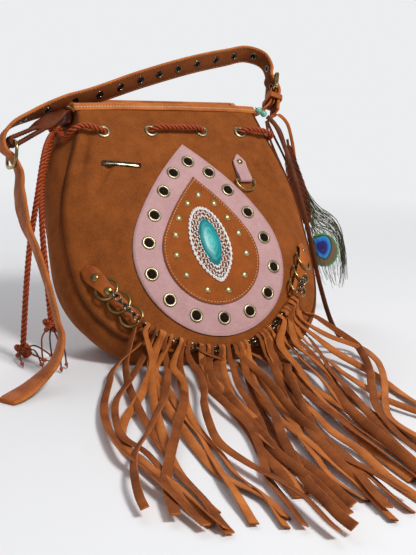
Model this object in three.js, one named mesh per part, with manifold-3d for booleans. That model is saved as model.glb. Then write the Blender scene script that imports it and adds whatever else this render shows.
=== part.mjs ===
import * as THREE from 'three';
import { mergeVertices } from 'three/addons/utils/BufferGeometryUtils.js';
import Module from 'manifold-3d';

const wasm = await Module();
wasm.setup();

// Driving dimensions in millimetres; lengths on the bag run up its front panel
const GAP = 0.3;
const SEAT = 0.5;
const SEAM_GAP = 0.6;
const SUEDE = 2.5;
const PANEL_LENGTH = 330;
const BELLY_LENGTH = 150;
const BELLY_HALF_WIDTH = 164;
const RIM_HALF_WIDTH = 122;
const BASE_FRONT = -75;
const BASE_DEPTH = 140;
const RIM_DEPTH = 55;
const SEAM_HEIGHT = 16;
const LOWER_LEAN = 23.6;
const UPPER_LEAN = 46.6;
const CROWN = 38;
const RIM_CROWN = 2;
const BACK_CROWN = 20;
const BACK_BELLY = 8;
const SIDE_BULGE = 8;
const BASE_BULGE = 32;
const RIM_FOLD = 6;
const BINDING_DROP = 9;
const BINDING_THICKNESS = 1.8;
const BINDING_CLEARANCE = 0.8;
const RIM_EYELET_SPOTS = [-96.7, -34.9, 34.1, 89.8];
const RIM_EYELET_LENGTH = 288;
const EYELET_FLANGE = 8.5;
const EYELET_WALL = 0.6;
const EYELET_CLEARANCE = 0.4;
const ROPE_DIAMETER = 7;
const ROPE_CLEARANCE = 1.5;
const EYELET_BORE = ROPE_DIAMETER / 2 + ROPE_CLEARANCE;
const PINK = { centre: 114, radius: 97, tip: 266, thickness: 1.6 };
const TAN = { centre: 116, radius: 62, tip: 217, thickness: 1.4 };
const LACE = { x: 1, s: 130, halfWidth: 30, halfHeight: 47, turn: 10, thickness: 1.2 };
const STONE = { x: 1, s: 131, halfWidth: 14, halfHeight: 30, turn: 10, thickness: 2.6 };
const TAB_X = 71;
const TAB_TOP = 254;
const TAB_BOTTOM = 213;
const TAB_WIDTH = 22;
const TAB_LEATHER = 1.6;
const D_RING_WIRE = 2.5;
const D_RING_WIDTH = 24;
const D_RING_DROP = 15;
const BAR = { left: -108, right: -62.5, leftLength: 248, rightLength: 234, height: 6, thickness: 2 };
const CHAIN_STRAP_WIDTH = 16;
const CHAIN_STRAP_LEATHER = 2;
const CHAIN_RING_DIAMETER = 28;
const CHAIN_RING_WIRE = 2.8;
const CHAIN_DIAMETER = 6;
const CHAIN_HEIGHT = 7.8;
const RIVET_RADIUS = 4.8;
const STRIP_COUNT = 10;
const STRIP_WIDTH = 7;
const STRIP_LEATHER = 1.6;
const STRAP_WIDTH = 25;
const STRAP_LEATHER = 4;
const OVAL_RING = { width: STRAP_WIDTH + 17, height: 34, wire: 3.5 };
const SIDE_TAB_WIDTH = 18;
const BUCKLE = { width: STRAP_WIDTH + 12, length: 28, wire: 4 };
const PRONG_DIAMETER = 3;
const KEEPER = { length: 8, leather: 1.8, clearance: 0.5 };
const BEAD_DIAMETER = 8.4;

const group = new THREE.Group();

function colour(hex, roughness, metalness = 0) {
  return new THREE.MeshStandardMaterial({ color: hex, roughness, metalness });
}
const suede = () => colour(0x9a5a2a, 0.95);
const strapLeather = () => colour(0xb06a30, 0.6);
const darkLeather = () => colour(0x6b3d20, 0.65);
const brass = () => colour(0x8a8060, 0.35, 1);
const silk = () => colour(0x96401c, 0.45);

const point = (x, y, z) => new THREE.Vector3(x, y, z);
const radians = THREE.MathUtils.degToRad;

function mix(a, b, t) {
  return a + (b - a) * t;
}

function smooth(t) {
  const c = Math.min(Math.max(t, 0), 1);
  return c * c * (3 - 2 * c);
}

// Welds a geometry into one closed skin that faces out
function closed(geometry) {
  geometry.deleteAttribute('normal');
  geometry.deleteAttribute('uv');
  const skin = mergeVertices(geometry, 1e-4);
  const p = skin.attributes.position;
  const index = skin.index.array;
  const [a, b, c] = [point(), point(), point()];
  let volume = 0;
  for (let i = 0; i < index.length; i += 3) {
    a.fromBufferAttribute(p, index[i]);
    b.fromBufferAttribute(p, index[i + 1]);
    c.fromBufferAttribute(p, index[i + 2]);
    volume += a.dot(b.cross(c));
  }
  if (volume < 0) {
    for (let i = 0; i < index.length; i += 3) {
      [index[i], index[i + 1]] = [index[i + 1], index[i]];
    }
  }
  return skin;
}

function toManifold(skin) {
  return new wasm.Manifold(new wasm.Mesh({
    numProp: 3,
    vertProperties: new Float32Array(skin.attributes.position.array),
    triVerts: new Uint32Array(skin.index.array),
  }));
}

function fromManifold(body) {
  const mesh = body.getMesh();
  const geometry = new THREE.BufferGeometry();
  geometry.setAttribute('position', new THREE.BufferAttribute(new Float32Array(mesh.vertProperties), 3));
  geometry.setIndex(new THREE.BufferAttribute(new Uint32Array(mesh.triVerts), 1));
  return geometry;
}

function cut(skin, tools) {
  let body = toManifold(skin);
  for (const tool of tools) {
    body = body.subtract(toManifold(tool));
  }
  return fromManifold(body);
}

function join(first, second) {
  return fromManifold(toManifold(first).add(toManifold(second)));
}

function add(name, geometry, material) {
  const mesh = new THREE.Mesh(geometry, material);
  mesh.name = name;
  group.add(mesh);
}

// A block whose corners go through a function of three shares from 0 to 1
function block(across, along, place) {
  const geometry = new THREE.BoxGeometry(1, 1, 1, across, along, 1);
  const p = geometry.attributes.position;
  for (let i = 0; i < p.count; i += 1) {
    const spot = place(p.getX(i) + 0.5, p.getY(i) + 0.5, p.getZ(i) + 0.5);
    p.setXYZ(i, spot.x, spot.y, spot.z);
  }
  return closed(geometry);
}

// A closed band: a ring of sections, each a loop of points given by a function
function band(sides, steps, place) {
  const geometry = new THREE.TorusGeometry(2, 1, sides, steps);
  const p = geometry.attributes.position;
  for (let j = 0; j <= sides; j += 1) {
    for (let i = 0; i <= steps; i += 1) {
      const spot = place(j % sides, i % steps);
      p.setXYZ(j * (steps + 1) + i, spot.x, spot.y, spot.z);
    }
  }
  return closed(geometry);
}

// A wire bent into a flat loop; outline gives the loop's two coordinates
function wireLoop(outline, wire, steps, centre, axisA, axisB) {
  const normal = axisA.clone().cross(axisB).normalize();
  const at = (i) => {
    const [a, b] = outline((i / steps) * Math.PI * 2);
    return centre.clone().addScaledVector(axisA, a).addScaledVector(axisB, b);
  };
  return band(6, steps, (j, i) => {
    const side = at(i + 0.5).sub(at(i - 0.5)).normalize().cross(normal).normalize();
    const angle = (j / 6) * Math.PI * 2;
    return at(i).addScaledVector(side, Math.cos(angle) * wire / 2)
      .addScaledVector(normal, Math.sin(angle) * wire / 2);
  });
}

const roundLoop = (radius) => (angle) => [Math.cos(angle) * radius, Math.sin(angle) * radius];

function ovalLoop(halfWidth, halfHeight) {
  return (angle) => [
    Math.sign(Math.cos(angle)) * Math.abs(Math.cos(angle)) ** 0.6 * halfWidth,
    Math.sign(Math.sin(angle)) * Math.abs(Math.sin(angle)) ** 0.6 * halfHeight,
  ];
}

// A flat strip along a run of stations, each a middle point and a width direction
function strip(stations, width, thickness) {
  const last = stations.length - 1;
  return block(1, last, (u, v, w) => {
    const i = Math.round(v * last);
    const run = stations[Math.min(i + 1, last)].p.clone().sub(stations[Math.max(i - 1, 0)].p).normalize();
    const side = stations[i].w.clone().addScaledVector(run, -stations[i].w.dot(run)).normalize();
    const face = side.clone().cross(run);
    const wide = typeof width === 'function' ? width(v) : width;
    return stations[i].p.clone().addScaledVector(side, (u - 0.5) * wide)
      .addScaledVector(face, (w - 0.5) * thickness);
  });
}

function stationsOn(points, widths, count) {
  const path = new THREE.CatmullRomCurve3(points, false, 'centripetal');
  const turn = new THREE.CatmullRomCurve3(widths);
  const stations = [];
  for (let i = 0; i <= count; i += 1) {
    stations.push({ p: path.getPointAt(i / count), w: turn.getPoint(i / count) });
  }
  return stations;
}

// A round cord along a smooth route
function cord(points, diameter, steps, sides = 8) {
  const section = new THREE.Shape();
  for (let i = 0; i < sides; i += 1) {
    const angle = (i / sides) * Math.PI * 2;
    const spot = [Math.cos(angle) * diameter / 2, Math.sin(angle) * diameter / 2];
    if (i === 0) section.moveTo(...spot);
    else section.lineTo(...spot);
  }
  section.closePath();
  const route = new THREE.CatmullRomCurve3(points, false, 'centripetal');
  return closed(new THREE.ExtrudeGeometry(section, { steps, extrudePath: route }));
}

// A turned piece, its profile drawn as radius and height, stood on a point along an axis
function turned(profile, sides, spot, axis) {
  const geometry = new THREE.LatheGeometry(profile.map(([r, h]) => new THREE.Vector2(r, h)), sides);
  const turn = new THREE.Quaternion().setFromUnitVectors(point(0, 1, 0), axis);
  geometry.applyQuaternion(turn);
  geometry.translate(spot.x, spot.y, spot.z);
  return closed(geometry);
}

// Shape of the bag: half width, lean and crown of the front panel at a length up from its lower seam
const SEAM_START = 2;
const COLUMNS = 16;
const ROWS = 14;
const BASE_STEPS = 6;
const ROW_POWER = 1.6;
const BEND = radians(UPPER_LEAN - LOWER_LEAN) / PANEL_LENGTH;
const lean = (s) => radians(LOWER_LEAN) + BEND * s;

function halfWidth(s) {
  if (s < BELLY_LENGTH) {
    return BELLY_HALF_WIDTH * (1 - Math.abs(1 - s / BELLY_LENGTH) ** 2.8) ** (1 / 2.8);
  }
  const t = Math.min((s - BELLY_LENGTH) / (PANEL_LENGTH - BELLY_LENGTH), 1) ** 1.3;
  return RIM_HALF_WIDTH + (BELLY_HALF_WIDTH - RIM_HALF_WIDTH) * 0.5 * (1 + Math.cos(Math.PI * t));
}

const rowLength = (share) => mix(SEAM_START, PANEL_LENGTH, share ** ROW_POWER);
const crownWidth = (s) => halfWidth(Math.max(s, BELLY_LENGTH));
const rimShare = (s) => smooth((s - BELLY_LENGTH) / (PANEL_LENGTH - BELLY_LENGTH));

function frontSurface(x, s) {
  const setBack = mix(CROWN, RIM_CROWN, rimShare(s)) * (Math.abs(x) / crownWidth(s)) ** 4;
  const y = BASE_FRONT + (Math.cos(lean(0)) - Math.cos(lean(s))) / BEND;
  const z = SEAM_HEIGHT + (Math.sin(lean(s)) - Math.sin(lean(0))) / BEND;
  return point(x, y + setBack * Math.cos(lean(s)), z - setBack * Math.sin(lean(s)));
}

const RIM = frontSurface(0, PANEL_LENGTH);

function backSurface(x, s) {
  const z = frontSurface(0, s).z;
  const t = (z - SEAM_HEIGHT) / (RIM.z - SEAM_HEIGHT);
  const y = mix(BASE_FRONT + BASE_DEPTH, RIM.y + RIM_DEPTH, t) + BACK_BELLY * Math.sin(Math.PI * t);
  const setBack = BACK_CROWN * (1 - rimShare(s)) * (Math.abs(x) / crownWidth(s)) ** 4;
  return point(x, y - setBack, z);
}

function normalOf(surface, x, s) {
  const across = surface(x + 1, s).sub(surface(x - 1, s));
  const up = surface(x, s + 1).sub(surface(x, s - 1));
  return across.cross(up).normalize();
}
const frontNormal = (x, s) => normalOf(frontSurface, x, s);
const backNormal = (x, s) => normalOf(backSurface, x, s).negate();
const onFront = (x, s, h) => frontSurface(x, s).addScaledVector(frontNormal(x, s), h);
const onBack = (x, s, h) => backSurface(x, s).addScaledVector(backNormal(x, s), h);

// Rim eyelets and the holes that they sit in
const eyeletProfile = [
  [EYELET_BORE, -SUEDE - GAP],
  [EYELET_BORE + EYELET_WALL, -SUEDE - GAP],
  [EYELET_BORE + EYELET_WALL, GAP],
  [EYELET_FLANGE, GAP],
  [EYELET_FLANGE - 0.6, 1.3],
  [EYELET_BORE + 0.5, 1.5],
  [EYELET_BORE, 1],
  [EYELET_BORE, -SUEDE - GAP],
];

function hole(spot, axis, radius, depth) {
  return turned([[0, -depth], [radius, -depth], [radius, depth], [0, depth]], 12, spot, axis);
}

function panel(onPanel, surfaceNormal) {
  const sheet = block(COLUMNS, ROWS, (u, v, w) => {
    const s = rowLength(v);
    const share = mix(2 * u - 1, Math.sin((u - 0.5) * Math.PI), 0.6);
    return onPanel(share * halfWidth(s), s, (w - 1) * SUEDE);
  });
  return cut(sheet, RIM_EYELET_SPOTS.map((x) => hole(
    onPanel(x, RIM_EYELET_LENGTH, 0),
    surfaceNormal(x, RIM_EYELET_LENGTH),
    EYELET_BORE + EYELET_WALL + EYELET_CLEARANCE,
    3 * SUEDE,
  )));
}

add('front_panel', panel(onFront, frontNormal), suede());
add('back_panel', panel(onBack, backNormal), suede());

RIM_EYELET_SPOTS.forEach((x, i) => {
  const s = RIM_EYELET_LENGTH;
  add(`rim_eyelet_front_${i + 1}`, turned(eyeletProfile, 10, onFront(x, s, 0), frontNormal(x, s)), brass());
  add(`rim_eyelet_back_${i + 1}`, turned(eyeletProfile, 10, onBack(x, s, 0), backNormal(x, s)), brass());
});

// Seam line of both panels: down the left edge, along the bottom and up the right edge
const SEAM_STEPS = 2 * ROWS + BASE_STEPS;

function seamPoint(step) {
  if (step <= ROWS) {
    const s = rowLength(1 - step / ROWS);
    return new THREE.Vector2(-halfWidth(s), s);
  }
  if (step >= ROWS + BASE_STEPS) {
    const mirrored = seamPoint(SEAM_STEPS - step);
    return mirrored.setX(-mirrored.x);
  }
  return new THREE.Vector2(mix(-1, 1, (step - ROWS) / BASE_STEPS) * halfWidth(SEAM_START), SEAM_START);
}

// Share of the seam at a panel length on the left side or on the right side
function seamShare(right, s) {
  const fromTop = ROWS * (1 - ((s - SEAM_START) / (PANEL_LENGTH - SEAM_START)) ** (1 / ROW_POWER)) / SEAM_STEPS;
  return right ? 1 - fromTop : fromTop;
}

// Outer skin of the gusset at a share of the seam and a share of its own width, set off by h
function onGusset(t, v, h) {
  const step = t * SEAM_STEPS;
  const spot = seamPoint(step);
  const run = seamPoint(Math.min(step + 0.6, SEAM_STEPS)).sub(seamPoint(Math.max(step - 0.6, 0))).normalize();
  const out = new THREE.Vector2(run.y, -run.x);
  const down = Math.max(-out.y, 0);
  const inset = spot.clone().addScaledVector(out, h);
  const front = onFront(inset.x, inset.y, -SUEDE - SEAM_GAP);
  const back = onBack(inset.x, inset.y, -SUEDE - SEAM_GAP);
  const rimward = smooth((spot.y - 0.7 * PANEL_LENGTH) / (0.3 * PANEL_LENGTH));
  const bulge = mix(mix(SIDE_BULGE, BASE_BULGE, down), -RIM_FOLD, rimward);
  const fullness = 1 - Math.abs(2 * v - 1) ** mix(2, 6, down);
  const skin = front.lerp(back, v);
  skin.x += out.x * bulge * fullness;
  skin.z += out.y * bulge * fullness;
  skin.z = Math.max(skin.z, -h);
  return skin;
}

add('gusset', block(8, SEAM_STEPS, (u, v, w) => onGusset(v, u, (w - 1) * SUEDE)), suede());

// Binding: a leather band folded over the mouth's edge, all the way round
function mouthStations() {
  const stations = [];
  const place = (outer, inner, below) => {
    const away = outer.clone().sub(inner).normalize();
    stations.push({ outer, inner, away, down: below.clone().sub(outer).normalize() });
  };
  const s = PANEL_LENGTH;
  const rowBelow = rowLength(1 - 1 / ROWS);
  for (let i = 0; i <= 12; i += 1) {
    const share = 1 - (2 * i) / 12;
    const x = share * RIM_HALF_WIDTH;
    const inner = share * (RIM_HALF_WIDTH - SUEDE - 1);
    place(onFront(x, s, 0), onFront(inner, s, -SUEDE), onFront(share * halfWidth(rowBelow), rowBelow, 0));
  }
  for (let i = 0; i <= 6; i += 1) {
    const v = mix(0.04, 0.96, i / 6);
    place(onGusset(0, v, 0), onGusset(0, v, -SUEDE), onGusset(1 / SEAM_STEPS, v, 0));
  }
  for (let i = 0; i <= 12; i += 1) {
    const share = (2 * i) / 12 - 1;
    const x = share * RIM_HALF_WIDTH;
    const inner = share * (RIM_HALF_WIDTH - SUEDE - 1);
    place(onBack(x, s, 0), onBack(inner, s, -SUEDE), onBack(share * halfWidth(rowBelow), rowBelow, 0));
  }
  for (let i = 0; i <= 6; i += 1) {
    const v = mix(0.96, 0.04, i / 6);
    place(onGusset(1, v, 0), onGusset(1, v, -SUEDE), onGusset(1 - 1 / SEAM_STEPS, v, 0));
  }
  return stations;
}

function binding() {
  const mouth = mouthStations();
  const near = BINDING_CLEARANCE;
  const far = BINDING_CLEARANCE + BINDING_THICKNESS;
  const section = [
    ['outer', far, BINDING_DROP], ['outer', far, -far], ['inner', -far, -far], ['inner', -far, BINDING_DROP],
    ['inner', -near, BINDING_DROP], ['inner', -near, -near], ['outer', near, -near], ['outer', near, BINDING_DROP],
  ];
  return band(8, mouth.length, (j, i) => {
    const [edge, away, down] = section[j];
    return mouth[i][edge].clone().addScaledVector(mouth[i].away, away).addScaledVector(mouth[i].down, down);
  });
}
add('rim_binding', binding(), strapLeather());

// Teardrops: a round bottom that runs into a point
function tearHalf(tear, s) {
  const joint = tear.centre + 0.47 * tear.radius;
  if (s <= joint) {
    return Math.sqrt(tear.radius ** 2 - (s - tear.centre) ** 2);
  }
  const wide = Math.sqrt(tear.radius ** 2 - (joint - tear.centre) ** 2);
  const t = (s - joint) / (tear.tip - joint);
  const fullness = 1 - (joint - tear.centre) * (tear.tip - joint) / wide ** 2;
  return wide * (1 - t) * (1 + fullness * t);
}

function teardrop(tear, floor) {
  return block(10, 16, (u, v, w) => {
    const share = (1 - Math.cos(Math.PI * mix(0.03, 0.97, v))) / 2;
    const s = mix(tear.centre - tear.radius, tear.tip, share);
    return onFront((2 * u - 1) * tearHalf(tear, s), s, floor + w * tear.thickness);
  });
}
const PINK_TOP = SEAT + PINK.thickness;
const TAN_TOP = PINK_TOP + SEAT + TAN.thickness;
const LACE_TOP = TAN_TOP + GAP + LACE.thickness;
add('teardrop_pink', teardrop(PINK, SEAT), colour(0xcfa5a5, 0.95));
add('teardrop_tan', teardrop(TAN, PINK_TOP + SEAT), colour(0xa8602a, 0.95));

function pointedOval(oval, floor) {
  return block(6, 12, (u, v, w) => {
    const share = mix(-0.96, 0.96, v);
    const across = (2 * u - 1) * oval.halfWidth * Math.cos(share * Math.PI / 2) ** 0.8;
    const along = share * oval.halfHeight;
    const turn = radians(oval.turn);
    const x = oval.x + across * Math.cos(turn) - along * Math.sin(turn);
    const s = oval.s + across * Math.sin(turn) + along * Math.cos(turn);
    return onFront(x, s, floor + w * oval.thickness);
  });
}
add('lace_medallion', pointedOval(LACE, TAN_TOP + GAP), colour(0xf2f0ec, 0.9));
add('turquoise_stone', pointedOval(STONE, LACE_TOP + GAP), colour(0x2f9e9e, 0.25));

// Plain metal bar at the upper left
add('front_bar', block(6, 1, (u, v, w) => onFront(
  mix(BAR.left, BAR.right, u),
  mix(BAR.leftLength, BAR.rightLength, u) + (v - 0.5) * BAR.height,
  GAP + w * BAR.thickness,
)), colour(0x5c564a, 0.4, 1));

// Pink tab folded round the D ring's bar, its rivet and the D ring
const TAB_LOW = SEAT + TAB_LEATHER / 2;
const TAB_HIGH = TAB_LOW + TAB_LEATHER + GAP;
const foldRadius = (wire, leather) => wire / 2 + 0.5 + leather / 2;
const TAB_FOLD = foldRadius(D_RING_WIRE, TAB_LEATHER);
const D_BAR_H = TAB_LOW + TAB_FOLD;

function pinkTab() {
  const side = frontSurface(TAB_X + 1, TAB_BOTTOM).sub(frontSurface(TAB_X - 1, TAB_BOTTOM)).normalize();
  const route = [[TAB_BOTTOM + 26, TAB_LOW], [TAB_BOTTOM + 12, TAB_LOW], [TAB_BOTTOM, TAB_LOW]];
  for (let i = 1; i < 6; i += 1) {
    const angle = (i / 6) * Math.PI;
    route.push([TAB_BOTTOM - TAB_FOLD * Math.sin(angle), D_BAR_H - TAB_FOLD * Math.cos(angle)]);
  }
  route.push([TAB_BOTTOM, D_BAR_H + TAB_FOLD], [TAB_BOTTOM + 6, D_BAR_H + TAB_FOLD - 0.6]);
  route.push([TAB_BOTTOM + 14, TAB_HIGH + 0.6], [TAB_BOTTOM + 24, TAB_HIGH]);
  route.push([TAB_TOP - 9, TAB_HIGH], [TAB_TOP, TAB_HIGH]);
  const stations = route.map(([s, h]) => ({ p: onFront(TAB_X, s, h), w: side }));
  const taper = (v) => (v > 0.999 ? 3 : TAB_WIDTH);
  return strip(stations, taper, TAB_LEATHER);
}
add('pink_tab', pinkTab(), colour(0xcfa5a5, 0.95));

function rivet(spot, axis, radius = RIVET_RADIUS) {
  return turned([[0, 0], [radius, 0], [radius * 0.8, 0.9], [radius * 0.4, 1.5], [0, 1.7]], 10, spot, axis);
}
const tabRivetLength = TAB_TOP - 15;
add('pink_tab_rivet', rivet(
  onFront(TAB_X, tabRivetLength, TAB_HIGH + TAB_LEATHER / 2 + GAP),
  frontNormal(TAB_X, tabRivetLength),
  4,
), brass());

function dRing() {
  const centre = onFront(TAB_X, TAB_BOTTOM, D_BAR_H);
  const side = frontSurface(TAB_X + 1, TAB_BOTTOM).sub(frontSurface(TAB_X - 1, TAB_BOTTOM)).normalize();
  const down = onFront(TAB_X, TAB_BOTTOM - 12, D_BAR_H).sub(centre);
  down.addScaledVector(side, -down.dot(side)).normalize();
  const half = (D_RING_WIDTH + D_RING_WIRE) / 2;
  const outline = (angle) => {
    const lower = Math.max(Math.sin(angle), 0) ** 0.8;
    return [Math.cos(angle) * half, lower * D_RING_DROP];
  };
  return wireLoop(outline, D_RING_WIRE, 20, centre, side, down);
}
add('pink_tab_d_ring', dRing(), brass());

// Chain straps: a leather strap lies over the upper edge of each ring and under its lower edge
const RING_MID = (CHAIN_RING_DIAMETER - CHAIN_RING_WIRE) / 2;
const STRAP_RISE = 5.8;
const RING_TILT = 0.33;

function chainSide(name, tip, ringSpots, rivetSteps) {
  const along = new THREE.Vector2(...ringSpots[2]).sub(new THREE.Vector2(...ringSpots[0])).normalize();
  const first = new THREE.Vector2(...ringSpots[0]);
  const place = (run, h) => {
    const spot = first.clone().addScaledVector(along, run);
    return onFront(spot.x, spot.y, h);
  };
  const low = SEAT + CHAIN_STRAP_LEATHER / 2;
  const before = first.distanceTo(new THREE.Vector2(...tip));
  const end = first.distanceTo(new THREE.Vector2(...ringSpots[2]));
  const route = [
    place(-before, low + 0.3), place(-before + 8, low + 0.1), place(-RING_MID - 5, low + 1.4), place(-RING_MID, STRAP_RISE),
    place(end / 2, STRAP_RISE), place(end, STRAP_RISE), place(end + RING_MID - 4, STRAP_RISE - 0.5),
    place(end + RING_MID + 2, low),
  ];
  const across = (run) => {
    const spot = first.clone().addScaledVector(along, run);
    return place(run, 0).sub(place(run + 1, 0)).cross(frontNormal(spot.x, spot.y)).normalize();
  };
  const stations = stationsOn(route, [across(-before), across(0), across(end + RING_MID)], 16);
  const width = (v) => (v < 0.001 ? CHAIN_STRAP_WIDTH * 0.45 : CHAIN_STRAP_WIDTH);
  add(`${name}_chain_strap`, strip(stations, width, CHAIN_STRAP_LEATHER), strapLeather());
  ringSpots.forEach(([x, s], i) => {
    const centre = onFront(x, s, STRAP_RISE);
    const normal = frontNormal(x, s);
    const run = place(1, 0).sub(place(-1, 0)).normalize();
    run.addScaledVector(normal, RING_TILT - run.dot(normal)).normalize();
    const side = run.clone().cross(normal).normalize();
    add(`${name}_chain_ring_${i + 1}`, wireLoop(roundLoop(RING_MID), CHAIN_RING_WIRE, 16, centre, side, run), brass());
  });
  rivetSteps.forEach(([step, lift], i) => {
    const run = stations[step + 1].p.clone().sub(stations[step - 1].p).normalize();
    const face = stations[step].w.clone().cross(run).normalize();
    if (face.z < 0) face.negate();
    const seat = stations[step].p.clone().addScaledVector(face, CHAIN_STRAP_LEATHER / 2 + lift);
    add(`${name}_chain_rivet_${i + 1}`, rivet(seat, face), brass());
  });
}
const LEFT_RINGS = [[-131, 85], [-121, 67.5], [-111, 50]];
const RIGHT_RINGS = [[127, 104], [117, 86.5], [107, 69]];
chainSide('left', [-149, 117], LEFT_RINGS, [[3, 1], [7, GAP]]);
chainSide('right', [141, 128.5], RIGHT_RINGS, [[2, 0.8]]);

// The chain hangs in a curve from one set of rings to the other
const CHAIN_ROUTE = [
  [-127, 79, 15.4], [-117, 62, 15.4], [-106, 44, 15.4], [-97, 34, 11], [-85, 26, CHAIN_HEIGHT + 1], [-68, 17, CHAIN_HEIGHT],
  [-46, 8, CHAIN_HEIGHT], [-23, 3, CHAIN_HEIGHT], [4, 2, CHAIN_HEIGHT], [30, 8, CHAIN_HEIGHT],
  [55, 20, CHAIN_HEIGHT], [74, 34, CHAIN_HEIGHT + 1], [88, 47, 11], [100, 61, 15.4], [112, 80, 15.4],
];
const chainCurve = new THREE.CatmullRomCurve3(
  CHAIN_ROUTE.map(([x, s, h]) => onFront(x, s, h)),
  false,
  'centripetal',
);
add('fringe_chain', cord(CHAIN_ROUTE.map(([x, s, h]) => onFront(x, s, h)), CHAIN_DIAMETER, 40, 6), colour(0x4c4a46, 0.4, 1));

// Fringe: each strip is folded over the chain and both tails run forward over the floor
const TAIL_ENDS = new THREE.CatmullRomCurve3([
  point(-212, -205, 0), point(-246, -330, 0), point(-240, -405, 0), point(-205, -450, 0), point(-140, -474, 0),
  point(-60, -478, 0), point(10, -440, 0), point(75, -370, 0), point(125, -285, 0),
]);
const FOLD = CHAIN_DIAMETER / 2 + 0.8 + STRIP_LEATHER / 2;
const LYING = STRIP_LEATHER / 2 + GAP;

const FIRST_STRIP_X = -94;
const LAST_STRIP_X = 85;

// The chain's own point at a given x, found by halving
function chainShare(x) {
  let [low, high] = [0, 1];
  for (let i = 0; i < 20; i += 1) {
    const middle = (low + high) / 2;
    if (chainCurve.getPointAt(middle).x < x) low = middle;
    else high = middle;
  }
  return low;
}

// A spot on a tail's lane, a distance forward of the chain
function laneSpot(index, turn, reach, z) {
  const order = (index + 0.5 + 0.25 * turn * smooth(reach / 24)) / STRIP_COUNT;
  const root = chainCurve.getPointAt(chainShare(mix(FIRST_STRIP_X, LAST_STRIP_X, order)));
  const ahead = TAIL_ENDS.getPointAt(order).sub(root).setZ(0).normalize();
  return root.addScaledVector(ahead, reach).setZ(z);
}

function fringeStrip(index) {
  const share = chainShare(mix(FIRST_STRIP_X, LAST_STRIP_X, (index + 0.5) / STRIP_COUNT));
  const knot = chainCurve.getPointAt(share);
  const run = chainCurve.getTangentAt(share);
  const towards = (turn) => TAIL_ENDS.getPointAt((index + 0.5 + turn) / STRIP_COUNT);
  const ahead = towards(0).sub(knot).setZ(0).normalize();
  const out = ahead.clone().addScaledVector(run, -ahead.dot(run)).normalize();
  const up = run.clone().cross(out).normalize();
  if (up.z < 0) up.negate();
  const sideways = point(-ahead.y, ahead.x, 0);
  const at = (o, u) => knot.clone().addScaledVector(out, o).addScaledVector(up, u);
  const high = knot.z;
  const front = (turn, reach, z) => laneSpot(index, turn, reach, z);
  const frontFall = 34 + 0.5 * high;
  const backFall = 22 + 0.4 * high;
  const end = (turn) => towards(0.25 * turn).setZ(LYING);
  const between = (from, turn, part) => from.clone().lerp(end(turn), part);
  const frontTouch = front(-1, frontFall, LYING);
  const backTouch = front(1, backFall, LYING);
  const route = [
    end(-1), between(frontTouch, -1, 0.66), between(frontTouch, -1, 0.33), frontTouch,
    front(-1, frontFall * 0.62, 0.24 * high), front(-0.7, FOLD + 9, high * 0.72), at(FOLD, 0), at(0.5 * FOLD, 0.87 * FOLD),
    at(-0.5 * FOLD, 0.87 * FOLD), at(-FOLD, 0), at(-FOLD * 0.6, -FOLD - 2.5), front(0.9, 6 + 0.24 * high, high * 0.55 - 3),
    front(1, backFall * 0.75, LYING + 0.7), backTouch, between(backTouch, 1, 0.33), between(backTouch, 1, 0.66), end(1),
  ];
  const flat = sideways.clone();
  if (flat.dot(run) < 0) flat.negate();
  const along = run.clone();
  const widths = [flat, flat, flat, flat, flat, along, along, along, along, along, along, along, flat, flat, flat, flat, flat];
  return strip(route.map((p, i) => ({ p, w: widths[i] })), STRIP_WIDTH, STRIP_LEATHER);
}
for (let i = 0; i < STRIP_COUNT; i += 1) {
  add(`fringe_strip_${i + 1}`, fringeStrip(i), suede());
}

// Drawstring: weaves through the rim eyelets and leaves both ends at the left
const ROPE_OUT = ROPE_DIAMETER / 2 + 4.5;
const ROPE_IN = -ROPE_DIAMETER / 2 - 5.5;

function weave(onPanel, from, to, outside) {
  const h = outside ? ROPE_OUT : ROPE_IN;
  const step = Math.sign(to - from) * 7;
  const middle = (from + to) / 2;
  return [[from, 2.5 * Math.sign(h)], [from + step, h], [middle, h + Math.sign(h)], [to - step, h], [to, 2.5 * Math.sign(h)]]
    .map(([x, out]) => onPanel(x, RIM_EYELET_LENGTH, out - SUEDE / 2));
}
const spots = RIM_EYELET_SPOTS;
const ROPE_SIDE_LENGTH = RIM_EYELET_LENGTH - 6;
const onSide = (right, v, h) => onGusset(seamShare(right, ROPE_SIDE_LENGTH), v, h);
const heldRope = [
  onSide(false, 0.55, 9),
  onSide(false, 0.12, 8), onFront(-133, 286, 6), onFront(-121, 287, 9),
  ...weave(onFront, -108, spots[0], true).slice(3),
  ...weave(onFront, spots[0], spots[1], false),
  ...weave(onFront, spots[1], spots[2], true),
  ...weave(onFront, spots[2], spots[3], false),
  ...weave(onFront, spots[3], 108, true).slice(0, 2),
  onFront(121, 287, 9), onFront(133, 286, 6), onSide(true, 0.12, 8), onSide(true, 0.5, 9),
  onSide(true, 0.88, 8), onBack(133, 286, 6), onBack(121, 287, 9),
  ...weave(onBack, 108, spots[3], true).slice(3),
  ...weave(onBack, spots[3], spots[2], false),
  ...weave(onBack, spots[2], spots[1], true),
  ...weave(onBack, spots[1], spots[0], false),
  ...weave(onBack, spots[0], -108, true).slice(0, 2),
  onBack(-121, 287, 9), onBack(-133, 286, 6), onSide(false, 0.88, 8), onSide(false, 0.58, 9),
];

const HITCH_DIAMETER = 15;
const HITCH_LENGTH = 18;
const hitchSpot = onSide(false, 0.56, HITCH_DIAMETER / 2 + 3);
function knot(spot, diameter, length) {
  const r = diameter / 2;
  const h = length / 2;
  return turned([[0, -h], [r * 0.7, -h * 0.8], [r, -h * 0.3], [r, h * 0.3], [r * 0.7, h * 0.8], [0, h]], 10, spot, point(0, 0, 1));
}
add('drawstring', join(cord(heldRope, ROPE_DIAMETER, 120), knot(hitchSpot, HITCH_DIAMETER, HITCH_LENGTH)), silk());

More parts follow.
